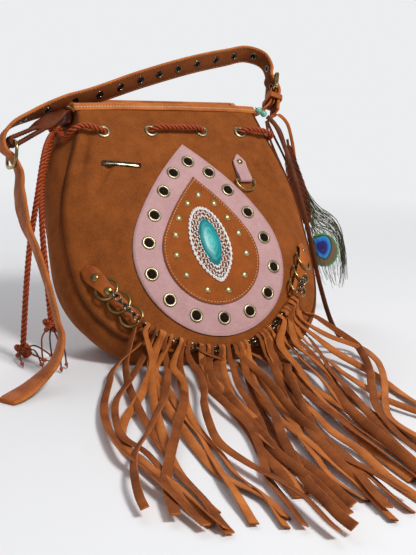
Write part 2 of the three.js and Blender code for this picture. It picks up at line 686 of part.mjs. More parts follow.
const FRONT_END = [
  point(-148.6, 119.6, 247.6), point(-160, 100, 241), point(-171, 80, 229), point(-181, 62, 207), point(-189, 50, 181),
  point(-196, 42, 155), point(-202, 36, 128), point(-206.5, 31, 95), point(-210, 27, 60), point(-213.4, 23.6, 12),
];
const REAR_END = [
  point(-147.4, 126.3, 240.3), point(-154.5, 117, 225), point(-163, 104, 211), point(-170, 90, 199), point(-176, 74, 188),
  point(-182, 56, 176), point(-188, 36, 160), point(-191, 22, 136), point(-191, 11, 105), point(-189, 6, 72),
  point(-186.6, 5, 46),
];
const ROPE_KNOT = 16;
const KNOT_LENGTH = 18;

function ropeEnd(route, steps, knotSpot) {
  return join(cord(route, ROPE_DIAMETER, steps), knot(knotSpot, ROPE_KNOT, KNOT_LENGTH));
}
add('rope_end_front', ropeEnd(FRONT_END, 24, point(-213.6, 23.4, 9.3)), silk());
add('rope_end_rear', ropeEnd(REAR_END, 22, point(-186.4, 4.6, 42)), silk());

// Strap: from the buckle over the arch, through the oval ring and down to the floor
const ARCH_SIDE = point(0, 0.788, -0.616);
const STRAP_RUN = point(0.372, 0.577, 0.726).normalize();
const STRAP_OUT = ARCH_SIDE.clone().cross(STRAP_RUN).normalize();
const HEEL = point(174, 154, 302);
const buckleSpot = (run, out) => HEEL.clone().addScaledVector(STRAP_RUN, run).addScaledVector(STRAP_OUT, out);
const BUCKLE_LAYER = BUCKLE.wire / 2 + 0.5 + CHAIN_STRAP_LEATHER + 0.8 + STRAP_LEATHER / 2;
const UNDER_BAR = -BUCKLE.wire / 2 - 0.8 - STRAP_LEATHER / 2;
const RING_SPOT = point(-205, 97, 225);

function strapRoute() {
  return [
    buckleSpot(-34, BUCKLE_LAYER), buckleSpot(-16, BUCKLE_LAYER), buckleSpot(0, BUCKLE_LAYER),
    buckleSpot(6, BUCKLE_LAYER - 1.5), buckleSpot(15, 0), buckleSpot(BUCKLE.length - BUCKLE.wire, UNDER_BAR - 1),
    buckleSpot(BUCKLE.length + 9, UNDER_BAR - 1),
    point(180, 194, 352), point(160, 205, 366), point(124, 199, 357), point(65, 187, 342), point(-13, 173, 324),
    point(-85, 157, 306), point(-129, 144, 295), point(-173, 132, 275), point(-200, 120, 257),
    point(-214, 107, 243), point(-214, 100, 231), point(-205, 97, 222), point(-199, 90, 206),
    point(-204, 70, 184), point(-209, 40, 166), point(-210, 18, 150), point(-205, 0, 128), point(-199, -25, 91),
    point(-196, -45, 60), point(-197, -60, 44), point(-210, -78, 25), point(-240, -99, 9), point(-258, -111, 4.5),
    point(-274, -122, 2.6),
  ];
}
const strapWidths = [
  ARCH_SIDE, ARCH_SIDE, ARCH_SIDE, ARCH_SIDE, ARCH_SIDE, point(0, 0.9, -0.42), point(0, 1, -0.1),
  point(0, 1, 0), point(0, 1, 0), point(0.1, 1, 0), point(0.2, 1, 0), point(-0.57, 0.82, 0),
];
const strapStations = stationsOn(strapRoute(), strapWidths, 84);
const strapSkin = strip(strapStations, STRAP_WIDTH, STRAP_LEATHER);
const prongHole = block(1, 1, (u, v, w) => (
  buckleSpot(mix(0.6, 14.6, u), mix(-9, 10, v)).addScaledVector(ARCH_SIDE, mix(-2.4, 2.4, w))
));
add('strap', cut(strapSkin, [prongHole]), strapLeather());

const frameHalf = (BUCKLE.width - BUCKLE.wire) / 2;
const frameLength = BUCKLE.length - BUCKLE.wire;
function squareLoop(halfAcross, length) {
  return (angle) => [
    Math.max(-1, Math.min(1, 1.35 * Math.cos(angle))) * halfAcross,
    length / 2 + Math.max(-1, Math.min(1, 1.35 * Math.sin(angle))) * length / 2,
  ];
}
add('buckle_frame', wireLoop(squareLoop(frameHalf, frameLength), BUCKLE.wire, 20, HEEL, ARCH_SIDE, STRAP_RUN), brass());

function prong() {
  const eye = wireLoop(roundLoop(BUCKLE.wire / 2 + GAP + 1.2), 2.2, 12, HEEL, STRAP_RUN, STRAP_OUT);
  const rod = cord([
    buckleSpot(2.4, 2.4), buckleSpot(8, 4.2), buckleSpot(18, 4.4),
    buckleSpot(BUCKLE.length + 1, BUCKLE.wire / 2 + GAP + PRONG_DIAMETER / 2),
  ], PRONG_DIAMETER, 5, 8);
  return join(eye, rod);
}
add('buckle_prong', prong(), brass());

// Right anchor: sewn to the gusset, folded round the buckle's bar, with a slot for the prong
const TAB_SEAT = [[296, 4.2], [306, 4.6], [316, 9]];
const GATHER = onGusset(seamShare(true, 306), 0.6, 0).sub(onGusset(seamShare(true, 306), 0.4, 0)).normalize();
const tabSeat = (right) => TAB_SEAT.map(([s, h]) => onGusset(seamShare(right, s), 0.5, h));
const ANCHOR_FOLD = foldRadius(BUCKLE.wire, CHAIN_STRAP_LEATHER);
function anchorStations() {
  const route = [...tabSeat(true), point(148, 139, 277)];
  route.push(buckleSpot(-24, -ANCHOR_FOLD), buckleSpot(-8, -ANCHOR_FOLD), buckleSpot(0, -ANCHOR_FOLD));
  for (let i = 1; i < 5; i += 1) {
    const angle = (i / 5) * Math.PI;
    route.push(buckleSpot(ANCHOR_FOLD * Math.sin(angle), -ANCHOR_FOLD * Math.cos(angle)));
  }
  route.push(buckleSpot(0, ANCHOR_FOLD), buckleSpot(-5, ANCHOR_FOLD - 0.4), buckleSpot(-22, ANCHOR_FOLD - 1.8));
  const widths = route.map((p, i) => (i < 3 ? GATHER : ARCH_SIDE));
  return route.map((p, i) => ({ p, w: widths[i] }));
}
const anchorSkin = strip(anchorStations(), SIDE_TAB_WIDTH, CHAIN_STRAP_LEATHER);
const slot = block(1, 1, (u, v, w) => buckleSpot(mix(-6, 12, u), mix(-9, 9, v)).addScaledVector(ARCH_SIDE, mix(-2.6, 2.6, w)));
add('right_anchor_tab', cut(anchorSkin, [slot]), darkLeather());

function keeper() {
  const inside = KEEPER.clearance + KEEPER.leather / 2;
  const top = BUCKLE_LAYER + STRAP_LEATHER / 2 + inside;
  const low = -ANCHOR_FOLD - CHAIN_STRAP_LEATHER / 2 - inside;
  const half = STRAP_WIDTH / 2 + inside;
  const corners = [[-half, low], [half, low], [half, top], [-half, top]];
  return band(4, 4, (j, i) => {
    const [across, out] = corners[i];
    const grow = (j === 0 || j === 3 ? -1 : 1) * KEEPER.leather / 2;
    const run = -14 + (j < 2 ? -1 : 1) * KEEPER.length / 2;
    return buckleSpot(run, out + Math.sign(out) * grow)
      .addScaledVector(ARCH_SIDE, across + Math.sign(across) * grow);
  });
}
add('keeper_loop', keeper(), darkLeather());

// Left side: oval ring held by a folded leather tab
const RING_UP = point(0.12, 0.2, 1).normalize();
const RING_ACROSS = point(0, 1, -0.2).normalize();
add('oval_ring', wireLoop(
  ovalLoop((OVAL_RING.width - OVAL_RING.wire) / 2, (OVAL_RING.height - OVAL_RING.wire) / 2),
  OVAL_RING.wire, 20, RING_SPOT, RING_ACROSS, RING_UP,
), brass());

function sideTab() {
  const bar = RING_SPOT.clone().addScaledVector(RING_UP, (OVAL_RING.height - OVAL_RING.wire) / 2);
  const fold = foldRadius(OVAL_RING.wire, CHAIN_STRAP_LEATHER) + 2 * GAP;
  const seat = tabSeat(false);
  const run = seat[1].clone().sub(bar).normalize();
  const up = RING_ACROSS.clone().cross(run).normalize();
  if (up.z < 0) up.negate();
  const at = (r, u) => bar.clone().addScaledVector(run, r).addScaledVector(up, u);
  const route = [...seat, at(54, fold), at(30, fold), at(8, fold), at(0, fold)];
  for (let i = 1; i < 5; i += 1) {
    const angle = (i / 5) * Math.PI;
    route.push(at(-fold * Math.sin(angle), fold * Math.cos(angle)));
  }
  route.push(at(0, -fold), at(8, -fold + 0.4), at(24, -fold + 1.6));
  const widths = route.map((p, i) => (i < 3 ? GATHER : RING_ACROSS));
  return strip(route.map((p, i) => ({ p, w: widths[i] })), SIDE_TAB_WIDTH, CHAIN_STRAP_LEATHER);
}
add('left_side_tab', sideTab(), darkLeather());

// Charm at the right of the rim: two beads, a thong, a cut leather leaf and a peacock feather
function bead(spot, axis) {
  const r = BEAD_DIAMETER / 2;
  const profile = [[1, -r * 0.9], [r * 0.75, -r * 0.75], [r, 0], [r * 0.75, r * 0.75], [1, r * 0.9], [1, -r * 0.9]];
  return turned(profile, 12, spot, axis);
}
const CHARM_START = point(125.3, 111.8, 284.2);
const CHARM_RUN = point(0.72, -0.42, -0.55).normalize();
const FIRST_BEAD = 6.5;
const BEAD_STEP = BEAD_DIAMETER * 0.9 + GAP;
const alongCharm = (run) => CHARM_START.clone().addScaledVector(CHARM_RUN, run);
add('bead_1', bead(alongCharm(FIRST_BEAD), CHARM_RUN), colour(0x6ec8aa, 0.3));
add('bead_2', bead(alongCharm(FIRST_BEAD + BEAD_STEP), CHARM_RUN), colour(0x6ec8aa, 0.3));

// Thin cord that the beads hang on, from the binding to the thong
const CHARM_CORD_END = FIRST_BEAD + BEAD_STEP + BEAD_DIAMETER / 2 + 0.8;
add('charm_cord', cord([0, 0.3, 0.7, 1].map((t) => alongCharm(t * CHARM_CORD_END)), 1.4, 3, 6), silk());

const facing = point(0.88, -0.46, 0);
const thongRoute = [
  alongCharm(CHARM_CORD_END + 0.6),
  point(149, 96, 262), point(158, 82, 232), point(166, 60, 185), point(172, 40, 135), point(175, 5, 62),
  point(180, -18, 20), point(186, -30, 3),
];
const across = [facing, facing, point(0.5, -0.8, 0.2), point(0.6, -0.8, 0)];
add('charm_thong', strip(stationsOn(thongRoute, across, 16), 6, 2), darkLeather());
add('leather_leaf', strip(
  stationsOn([point(163.2, 84.4, 245), point(175, 84.5, 212), point(190, 80, 172), point(207, 76, 130)], [facing, facing], 8),
  (v) => mix(5, 24, Math.sin(Math.PI * mix(0.08, 0.95, v))), 2,
), darkLeather());
add('peacock_feather', strip(
  stationsOn([
    point(151.4, 96.5, 258), point(178, 100, 218), point(204, 98, 168), point(228, 93, 112), point(240, 90, 84),
    point(252, 86, 50),
  ], [facing, facing], 14),
  (v) => (v < 0.45 ? 5 : mix(5, 40, Math.sin(Math.PI * Math.min((v - 0.45) / 0.62, 1)))), 1.6,
), colour(0x2e6b4a, 0.6));

export default group;
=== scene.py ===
import math
import random

import bmesh
import bpy
from mathutils import Matrix, Vector, noise


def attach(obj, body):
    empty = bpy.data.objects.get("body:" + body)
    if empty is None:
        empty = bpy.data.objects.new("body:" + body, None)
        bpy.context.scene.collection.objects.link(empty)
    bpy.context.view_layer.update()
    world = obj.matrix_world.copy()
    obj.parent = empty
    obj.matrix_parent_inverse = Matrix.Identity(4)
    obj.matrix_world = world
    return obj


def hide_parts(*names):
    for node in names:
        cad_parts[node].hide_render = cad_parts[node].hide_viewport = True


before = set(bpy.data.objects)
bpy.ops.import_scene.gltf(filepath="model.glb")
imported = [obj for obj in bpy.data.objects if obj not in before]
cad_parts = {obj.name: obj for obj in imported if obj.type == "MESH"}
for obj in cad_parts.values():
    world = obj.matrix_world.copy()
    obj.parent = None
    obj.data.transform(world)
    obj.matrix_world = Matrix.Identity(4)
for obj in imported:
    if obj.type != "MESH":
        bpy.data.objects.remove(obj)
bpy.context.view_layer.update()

# Camera, lamps and floor: the bag stands on a pale studio sweep
# The camera looks down a little from the front left, as the photo does, and one large soft lamp
# lights the front from the upper right while two weaker ones fill the left side and the back
scene = bpy.context.scene
scene.view_settings.view_transform = "Standard"
MM = 0.001


def mix(a, b, t):
    return a + (b - a) * t


def linear(r, g, b):
    """A colour written as 0 to 255 sRGB, as the renderer's own linear colour."""
    def one(v):
        v /= 255
        return v / 12.92 if v <= 0.04045 else ((v + 0.055) / 1.055) ** 2.4
    return (one(r), one(g), one(b), 1)


class Field:
    """One value or colour of a material; sums and products of fields make maths nodes."""

    def __init__(self, tree, socket):
        self.tree = tree
        self.socket = socket

    def maths(self, operation, *others):
        node = self.tree.nodes.new("ShaderNodeMath")
        node.operation = operation
        for slot, value in zip(node.inputs, (self, *others)):
            connect(self.tree, slot, value)
        return Field(self.tree, node.outputs[0])

    def __add__(self, other):
        return self.maths("ADD", other)

    def __mul__(self, other):
        return self.maths("MULTIPLY", other)

    def __sub__(self, other):
        return self.maths("SUBTRACT", other)

    def __rsub__(self, other):
        return self * -1 + other

    def __pow__(self, other):
        return self.maths("POWER", other)

    __radd__ = __add__
    __rmul__ = __mul__


def connect(tree, slot, value):
    if isinstance(value, Field):
        tree.links.new(value.socket, slot)
    else:
        slot.default_value = value


class Finish:
    """A material: its nodes are made by node(), and paint() sets the surface."""

    def __init__(self, name):
        self.material = bpy.data.materials.new(name)
        self.material.use_nodes = True
        self.tree = self.material.node_tree
        self.shader = self.tree.nodes["Principled BSDF"]
        self.place = self.node("TexCoord", output="Object")
        self.uv = self.node("TexCoord", output="UV")

    def node(self, kind, settings=None, stops=None, output=0, **inputs):
        made = self.tree.nodes.new("ShaderNode" + kind)
        for name, value in (settings or {}).items():
            setattr(made, name, value)
        if stops:
            while len(made.color_ramp.elements) < len(stops):
                made.color_ramp.elements.new(0.5)
            for element, (spot, colour) in zip(made.color_ramp.elements, stops):
                element.position = spot
                element.color = colour
        for name, value in inputs.items():
            connect(self.tree, made.inputs[name.replace("_", " ")], value)
        return Field(self.tree, made.outputs[output])

    def noise(self, scale, detail=3, roughness=0.5):
        return self.node("TexNoise", Vector=self.place, Scale=scale, Detail=detail, Roughness=roughness)

    def ramp(self, value, *stops):
        return self.node("ValToRGB", stops=stops, Fac=value)

    def bump(self, height, distance, strength=1.0):
        return self.node("Bump", Height=height, Distance=distance, Strength=strength)

    def paint(self, **inputs):
        for name, value in inputs.items():
            connect(self.tree, self.shader.inputs[name.replace("_", " ")], value)
        return self.material


def plain_object(name, build, material):
    bm = bmesh.new()
    build(bm)
    mesh = bpy.data.meshes.new(name)
    bm.to_mesh(mesh)
    bm.free()
    mesh.materials.append(material)
    made = bpy.data.objects.new(name, mesh)
    scene.collection.objects.link(made)
    return made


def lamp(name, spot, aim, size, power, colour):
    data = bpy.data.lights.new(name, "AREA")
    data.size = size
    data.energy = power
    data.color = colour
    made = bpy.data.objects.new(name, data)
    made.location = Vector(spot)
    made.rotation_euler = (Vector(aim) - Vector(spot)).to_track_quat("-Z", "Y").to_euler()
    scene.collection.objects.link(made)
    return made


CAMERA_SPOT = (-0.5358, -1.0451, 0.3364)
CAMERA_ANGLES = (-27.5, 12, 2.39)
CAMERA_LENS = 64.86


def make_camera():
    turn, pitch, roll = (math.radians(angle) for angle in CAMERA_ANGLES)
    back = Vector((math.sin(turn) * math.cos(pitch), -math.cos(turn) * math.cos(pitch), math.sin(pitch)))
    level = Vector((math.cos(turn), math.sin(turn), 0))
    rise = Vector((-math.sin(turn) * math.sin(pitch), math.cos(turn) * math.sin(pitch), math.cos(pitch)))
    right = math.cos(roll) * level + math.sin(roll) * rise
    up = math.cos(roll) * rise - math.sin(roll) * level
    data = bpy.data.cameras.new("camera")
    data.sensor_fit = "VERTICAL"
    data.sensor_height = 36
    data.lens = CAMERA_LENS
    made = bpy.data.objects.new("camera", data)
    facing = Matrix((right, up, back)).transposed().to_4x4()
    made.matrix_world = Matrix.Translation(CAMERA_SPOT) @ facing
    scene.collection.objects.link(made)
    scene.camera = made


make_camera()
lamp("key lamp", (0.55, -1.7, 2.15), (0, 0, 0.12), 0.7, 56, (1, 0.985, 0.96))
lamp("left fill", (-1.9, -1.2, 1.2), (0, 0, 0.1), 1.4, 1.6, (0.95, 0.98, 1))
lamp("back lamp", (0.4, 1.6, 1.7), (0, 0, 0.15), 1.2, 10, (1, 1, 1))

BACKDROP = linear(236, 237, 239)
world = bpy.data.worlds.new("studio")
scene.world = world
world.use_nodes = True
world.node_tree.nodes["Background"].inputs["Color"].default_value = (0.95, 0.97, 1, 1)
world.node_tree.nodes["Background"].inputs["Strength"].default_value = 0.2


def floor_finish():
    look = Finish("studio floor")
    height = look.noise(40, 4) * 0.00002
    reach = look.node("VectorMath", {"operation": "LENGTH"}, output="Value", Vector=look.place)
    share = look.node("MapRange", Value=reach, From_Min=0.75, From_Max=1.6)
    look.paint(Base_Color=linear(238, 239, 242), Roughness=0.9, Normal=look.bump(height, 1.0))
    glow = look.tree.nodes.new("ShaderNodeEmission")
    glow.inputs["Color"].default_value = BACKDROP
    blend = look.tree.nodes.new("ShaderNodeMixShader")
    look.tree.links.new(share.socket, blend.inputs[0])
    look.tree.links.new(look.shader.outputs[0], blend.inputs[1])
    look.tree.links.new(glow.outputs[0], blend.inputs[2])
    look.tree.links.new(blend.outputs[0], look.tree.nodes["Material Output"].inputs["Surface"])
    return look.material


def sweep_floor(bm):
    made = bmesh.ops.create_grid(bm, x_segments=2, y_segments=40, size=0.5)
    for v in made["verts"]:
        run = mix(-3, 5.5, v.co.y + 0.5)
        bend = max(run - 2.5, 0)
        v.co = Vector((v.co.x * 9, run if bend <= 0 else 2.5 + bend ** 0.5 * 0.3, bend ** 2 * 0.5))


plain_object("Studio_floor", sweep_floor, floor_finish())

# Front panel, back panel and gusset: one suede skin, cut as two U-shaped panels and one long strip
# that makes both sides and the base; the panels lean back and the belly is the widest part
def point(x, y, z):
    return Vector((x, y, z))


def smooth(t):
    c = min(max(t, 0), 1)
    return c * c * (3 - 2 * c)


def patch(bm, across, along, place, material=0):
    """A grid whose corners the function place puts where they belong, in millimetres."""
    made = bmesh.ops.create_grid(bm, x_segments=across, y_segments=along, size=0.5)["verts"]
    layer = bm.loops.layers.uv.active or bm.loops.layers.uv.new("run")
    for face in {f for v in made for f in v.link_faces}:
        face.material_index = material
        for loop in face.loops:
            loop[layer].uv = (loop.vert.co.x + 0.5, loop.vert.co.y + 0.5)
    for v in made:
        v.co = place(v.co.x + 0.5, v.co.y + 0.5)
    return made


def wrap(bm, around, along, place, material=0):
    """A patch closed on itself: its first and last edges are joined."""
    made = patch(bm, around, along, place, material)
    bmesh.ops.remove_doubles(bm, verts=made, dist=1e-4)


def keep(name, bm, finishes, body="bag", stands_for=(), modifiers=()):
    """Makes a piece of the finished bmesh, in metres, and hides the CAD parts it stands for."""
    name = name.replace(" ", "_").capitalize()
    mesh = bpy.data.meshes.new(name)
    bm.to_mesh(mesh)
    bm.free()
    mesh.transform(Matrix.Scale(MM, 4))
    for finish in finishes:
        mesh.materials.append(finish)
    mesh.shade_smooth()
    made = bpy.data.objects.new(name, mesh)
    scene.collection.objects.link(made)
    for kind, settings in modifiers:
        modifier = made.modifiers.new(kind.lower(), kind)
        for setting, value in settings.items():
            setattr(modifier, setting, value)
    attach(made, body)
    if stands_for:
        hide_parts(*stands_for)
    return made


def length_of(points):
    return sum((b - a).length for a, b in zip(points, points[1:]))


def runs_of(points, closed=False):
    last = len(points) - 1
    if closed:
        return [(points[(i + 1) % (last + 1)] - points[i - 1]).normalized() for i in range(last + 1)]
    return [(points[min(i + 1, last)] - points[max(i - 1, 0)]).normalized() for i in range(last + 1)]


def side_of(direction, run):
    return (direction - run * direction.dot(run)).normalized()


def carried_sides(runs):
    """A side direction at each point that never twists round the line."""
    side = runs[0].orthogonal().normalized()
    out = []
    for run in runs:
        side = side_of(side, run)
        out.append(side)
    return out


def tube(bm, points, radius, sides=10, round_ends=True):
    runs = runs_of(points)
    first = carried_sides(runs)
    last = len(points) - 1
    total = length_of(points)

    def place(u, v):
        i = round(v * last)
        near = min(v, 1 - v) * total
        size = radius(v) if callable(radius) else radius
        if round_ends and near < size:
            size *= max(1 - (1 - near / size) ** 2, 0) ** 0.5
        angle = 2 * math.pi * u
        return (points[i] + first[i] * (math.cos(angle) * size)
                + runs[i].cross(first[i]) * (math.sin(angle) * size))
    wrap(bm, sides, last, place)


def suede(name, dark, light, nap=0.0004):
    look = Finish(name)
    cloud = look.noise(22, 6, 0.65)
    grain = look.noise(700, 3, 0.7)
    crease = look.noise(70, 5, 0.6)
    tone = look.ramp(cloud * 0.28 + grain * 0.46 + crease * 0.26, (0.31, dark), (0.69, light))
    height = grain * 0.6 + look.noise(1500, 2) * 0.5 + crease * 1.2
    look.paint(Base_Color=tone, Roughness=0.92, Specular_IOR_Level=0.18, Normal=look.bump(height, nap, 0.8),
               Sheen_Weight=0.1, Sheen_Roughness=0.5, Sheen_Tint=light)
    return look.material


SUEDE_LOOK = suede("cognac suede", linear(98, 48, 18), linear(172, 96, 40))
# The seam piping is suede painted darker than the panels: painted shade of the groove along each seam
SEAM_SHADE_LOOK = suede("suede seam painted shade", linear(64, 31, 12), linear(108, 56, 24))

SUEDE_THICKNESS = 2.5
PANEL_LENGTH = 330
BELLY_LENGTH = 150
BELLY_HALF_WIDTH = 164
RIM_HALF_WIDTH = 122
BASE_FRONT = -75
SEAM_HEIGHT = 16
FIRST_LEAN = math.radians(23.6)
BEND = math.radians(23) / PANEL_LENGTH


def lean(s):
    return FIRST_LEAN + BEND * s


def half_width(s):
    if s < BELLY_LENGTH:
        return BELLY_HALF_WIDTH * (1 - abs(1 - s / BELLY_LENGTH) ** 2.8) ** (1 / 2.8)
    t = min((s - BELLY_LENGTH) / (PANEL_LENGTH - BELLY_LENGTH), 1) ** 1.3
    return RIM_HALF_WIDTH + (BELLY_HALF_WIDTH - RIM_HALF_WIDTH) * 0.5 * (1 + math.cos(math.pi * t))


def crown_width(s):
    return half_width(max(s, BELLY_LENGTH))


def rim_share(s):
    return smooth((s - BELLY_LENGTH) / (PANEL_LENGTH - BELLY_LENGTH))


def front_surface(x, s):
    set_back = mix(38, 2, rim_share(s)) * (abs(x) / crown_width(s)) ** 4
    y = BASE_FRONT + (math.cos(FIRST_LEAN) - math.cos(lean(s))) / BEND
    z = SEAM_HEIGHT + (math.sin(lean(s)) - math.sin(FIRST_LEAN)) / BEND
    return point(x, y + set_back * math.cos(lean(s)), z - set_back * math.sin(lean(s)))


RIM = front_surface(0, PANEL_LENGTH)


def back_surface(x, s):
    z = front_surface(0, s).z
    t = (z - SEAM_HEIGHT) / (RIM.z - SEAM_HEIGHT)
    y = mix(65, RIM.y + 55, t) + 8 * math.sin(math.pi * t)
    return point(x, y - 20 * (1 - rim_share(s)) * (abs(x) / crown_width(s)) ** 4, z)


def surface_normal(surface, x, s):
    across = surface(x + 1, s) - surface(x - 1, s)
    return across.cross(surface(x, s + 1) - surface(x, s - 1)).normalized()


def front_normal(x, s):
    return surface_normal(front_surface, x, s)


def back_normal(x, s):
    return -surface_normal(back_surface, x, s)


def on_front(x, s, h=0):
    return front_surface(x, s) + front_normal(x, s) * h


def on_back(x, s, h=0):
    return back_surface(x, s) + back_normal(x, s) * h


def slack(x, s, seed):
    """How far the soft skin sinks between the pieces sewn to it: up to about 3 mm."""
    near_tear = smooth((((x / 104) ** 2 + ((s - 140) / 140) ** 2) ** 0.5 - 0.92) / 0.25)
    near_rim = smooth((306 - s) / 40)
    near_seam = smooth((half_width(s) - abs(x)) / 22)
    wave = noise.noise(Vector((x / 62, s / 48, seed))) + 0.5 * noise.noise(Vector((x / 23, s / 30, seed + 4)))
    pleat = 0
    for top, low in (((106, 318), (138, 226)), ((84, 262), (132, 196))):
        share = min(max((top[1] - s) / (top[1] - low[1]), 0), 1)
        pleat += math.exp(-((abs(x) - mix(top[0], low[0],
                                          share)) / 5) ** 2) * smooth(share * 3) * smooth((1 - share) * 3)
    return (min(wave * 3.0 - 1.2, 0.6) * near_tear - 4.6 * pleat) * near_rim * near_seam


ROW_POWER = 1.6
SEAM_START = 2


def row_length(share):
    return mix(SEAM_START, PANEL_LENGTH, share ** ROW_POWER)


def panel(bm, on_panel, turn, seed):
    def place(u, v):
        s = row_length(v)
        across = turn * (2 * u - 1)
        share = mix(across, math.sin(across * math.pi / 2), 0.6)
        x = share * half_width(s)
        tuck = 2.2 * smooth((abs(share) - 0.955) / 0.045)
        return on_panel(x, s, slack(x, s, seed) - tuck)
    patch(bm, 110, 110, place)


def thick(amount):
    return ("SOLIDIFY", {"thickness": amount * MM, "offset": -1})


bm = bmesh.new()
panel(bm, on_front, 1, 0)
keep("front panel", bm, [SUEDE_LOOK], stands_for=["front_panel"], modifiers=[thick(SUEDE_THICKNESS)])
bm = bmesh.new()
panel(bm, on_back, -1, 9)
keep("back panel", bm, [SUEDE_LOOK], stands_for=["back_panel"], modifiers=[thick(SUEDE_THICKNESS)])

SIDE_ROWS = 14
BASE_STEPS = 6
SEAM_STEPS = 2 * SIDE_ROWS + BASE_STEPS


def seam_point(step):
    if step <= SIDE_ROWS:
        s = row_length(1 - step / SIDE_ROWS)
        return Vector((-half_width(s), s))
    if step >= SIDE_ROWS + BASE_STEPS:
        mirrored = seam_point(SEAM_STEPS - step)
        return Vector((-mirrored.x, mirrored.y))
    return Vector((mix(-1, 1, (step - SIDE_ROWS) / BASE_STEPS) * half_width(SEAM_START), SEAM_START))


def seam_share(right, s):
    from_top = SIDE_ROWS * (1 - ((s - SEAM_START) / (PANEL_LENGTH
                                                     - SEAM_START)) ** (1 / ROW_POWER)) / SEAM_STEPS
    return 1 - from_top if right else from_top


def on_gusset(t, v, h=0):
    step = t * SEAM_STEPS
    spot = seam_point(step)
    run = (seam_point(min(step + 0.6, SEAM_STEPS)) - seam_point(max(step - 0.6, 0))).normalized()
    out = Vector((run.y, -run.x))
    down = max(-out.y, 0)
    inset = spot + out * h
    front = on_front(inset.x, inset.y, -SUEDE_THICKNESS - 0.6)
    back = on_back(inset.x, inset.y, -SUEDE_THICKNESS - 0.6)
    rimward = smooth((spot.y - 0.7 * PANEL_LENGTH) / (0.3 * PANEL_LENGTH))
    bulge = mix(mix(8, 32, down), -6, rimward)
    fullness = 1 - abs(2 * v - 1) ** mix(2, 6, down)
    skin = front.lerp(back, v)
    skin.x += out.x * bulge * fullness
    skin.z += out.y * bulge * fullness
    skin.z = max(skin.z, -h)
    return skin


def gusset_skin(u, v):
    slump = noise.noise(Vector((u * 3, v * 16, 3))) * 1.6 * math.sin(math.pi * u)
    return on_gusset(v, u, min(slump - 0.6, 0.3) if 0.12 < v < 0.88 else 0)


bm = bmesh.new()
patch(bm, 36, 170, gusset_skin)
keep("gusset", bm, [SUEDE_LOOK], stands_for=["gusset"], modifiers=[thick(SUEDE_THICKNESS)])


def seam_piping(bm, on_panel):
    spots = [seam_point(SEAM_STEPS * i / 150) for i in range(151)]
    tube(bm, [on_panel(p.x * 0.992, p.y, -1.6) for p in spots], 1.5, 8)


# Piping sunk in the seams, painted dark as the shade in the seam groove
bm = bmesh.new()
seam_piping(bm, on_front)
seam_piping(bm, on_back)
keep("panel seams", bm, [SEAM_SHADE_LOOK])

# Rim binding: a leather band folded over the mouth's edge and sewn with one row of pale stitches
# It runs all the way round, over both panels and the tops of the gusset
def basis(run, normal, spot, sizes=(1, 1, 1)):
    side = normal.cross(run).normalized()
    columns = Matrix((run * sizes[0], side * sizes[1], side.cross(run) * -sizes[2])).transposed()
    return Matrix.Translation(spot) @ columns.to_4x4()


def stitch(bm, spot, run, normal, sizes=(2.5, 0.85, 0.7)):
    bmesh.ops.create_uvsphere(bm, u_segments=6, v_segments=4, radius=0.5,
                              matrix=basis(run, normal, spot, sizes))


def leather(name, dark, light, roughness=0.55):
    look = Finish(name)
    cloud = look.noise(30, 5, 0.6)
    pores = look.node("TexVoronoi", Vector=look.place, Scale=900)
    tone = look.ramp(cloud * 0.8 + look.noise(600, 2) * 0.2, (0.35, dark), (0.65, light))
    shine = look.ramp(cloud, (0.3, (roughness + 0.16,) * 3 + (1,)), (0.7, (roughness,) * 3 + (1,)))
    height = pores * 0.5 + cloud * 0.8
    look.paint(Base_Color=tone, Roughness=shine, Specular_IOR_Level=0.22,
               Normal=look.bump(height, 0.0002, 0.6))
    return look.material


def thread(name, colour):
    look = Finish(name)
    fibre = look.noise(2500, 2)
    tone = look.ramp(fibre, (0.3, tuple(c * 0.75 for c in colour[:3]) + (1,)), (0.7, colour))
    look.paint(Base_Color=tone, Roughness=0.8, Normal=look.bump(fibre, 0.0001, 0.4))
    return look.material


BINDING_LOOK = leather("binding leather", linear(158, 82, 30), linear(206, 118, 50))
CREAM_THREAD = thread("cream thread", linear(226, 206, 170))

BINDING_NEAR = 0.8
BINDING_FAR = 2.6


def mouth_stations(long_steps, short_steps):
    stations = []

    def place(outer, inner, below):
        stations.append((outer, inner, (outer - inner).normalized(), (below - outer).normalized()))
    below_row = row_length(1 - 1 / SIDE_ROWS)
    for on_panel, turn in ((on_front, 1), (on_back, -1)):
        for i in range(long_steps + 1):
            share = turn * (1 - 2 * i / long_steps)
            place(on_panel(share * RIM_HALF_WIDTH, PANEL_LENGTH),
                  on_panel(share * 118.5, PANEL_LENGTH, -SUEDE_THICKNESS),
                  on_panel(share * half_width(below_row), below_row))
        side, below = (0, 1 / SEAM_STEPS) if turn == 1 else (1, 1 - 1 / SEAM_STEPS)
        for i in range(short_steps + 1):
            v = mix(0.04, 0.96, i / short_steps) if turn == 1 else mix(0.96, 0.04, i / short_steps)
            place(on_gusset(side, v), on_gusset(side, v, -SUEDE_THICKNESS), on_gusset(below, v))
    return stations


mouth = mouth_stations(64, 24)
round_far = BINDING_FAR * 0.72
binding_section = [
    (0, BINDING_FAR - 0.4, 9), (0, BINDING_FAR, 8.4), (0, BINDING_FAR, 4), (0, BINDING_FAR, -0.4),
    (0, round_far, -round_far), (0, 0.4, -BINDING_FAR), (1, -0.4, -BINDING_FAR), (1, -round_far, -round_far),
    (1, -BINDING_FAR, -0.4), (1, -BINDING_FAR, 4), (1, -BINDING_FAR, 8.4), (1, -BINDING_FAR + 0.4, 9),
    (1, -BINDING_NEAR, 9), (1, -BINDING_NEAR, -BINDING_NEAR), (0, BINDING_NEAR, -BINDING_NEAR),
    (0, BINDING_NEAR, 9),
]


def binding_point(station, edge, away, down):
    return station[edge] + station[2] * away + station[3] * down


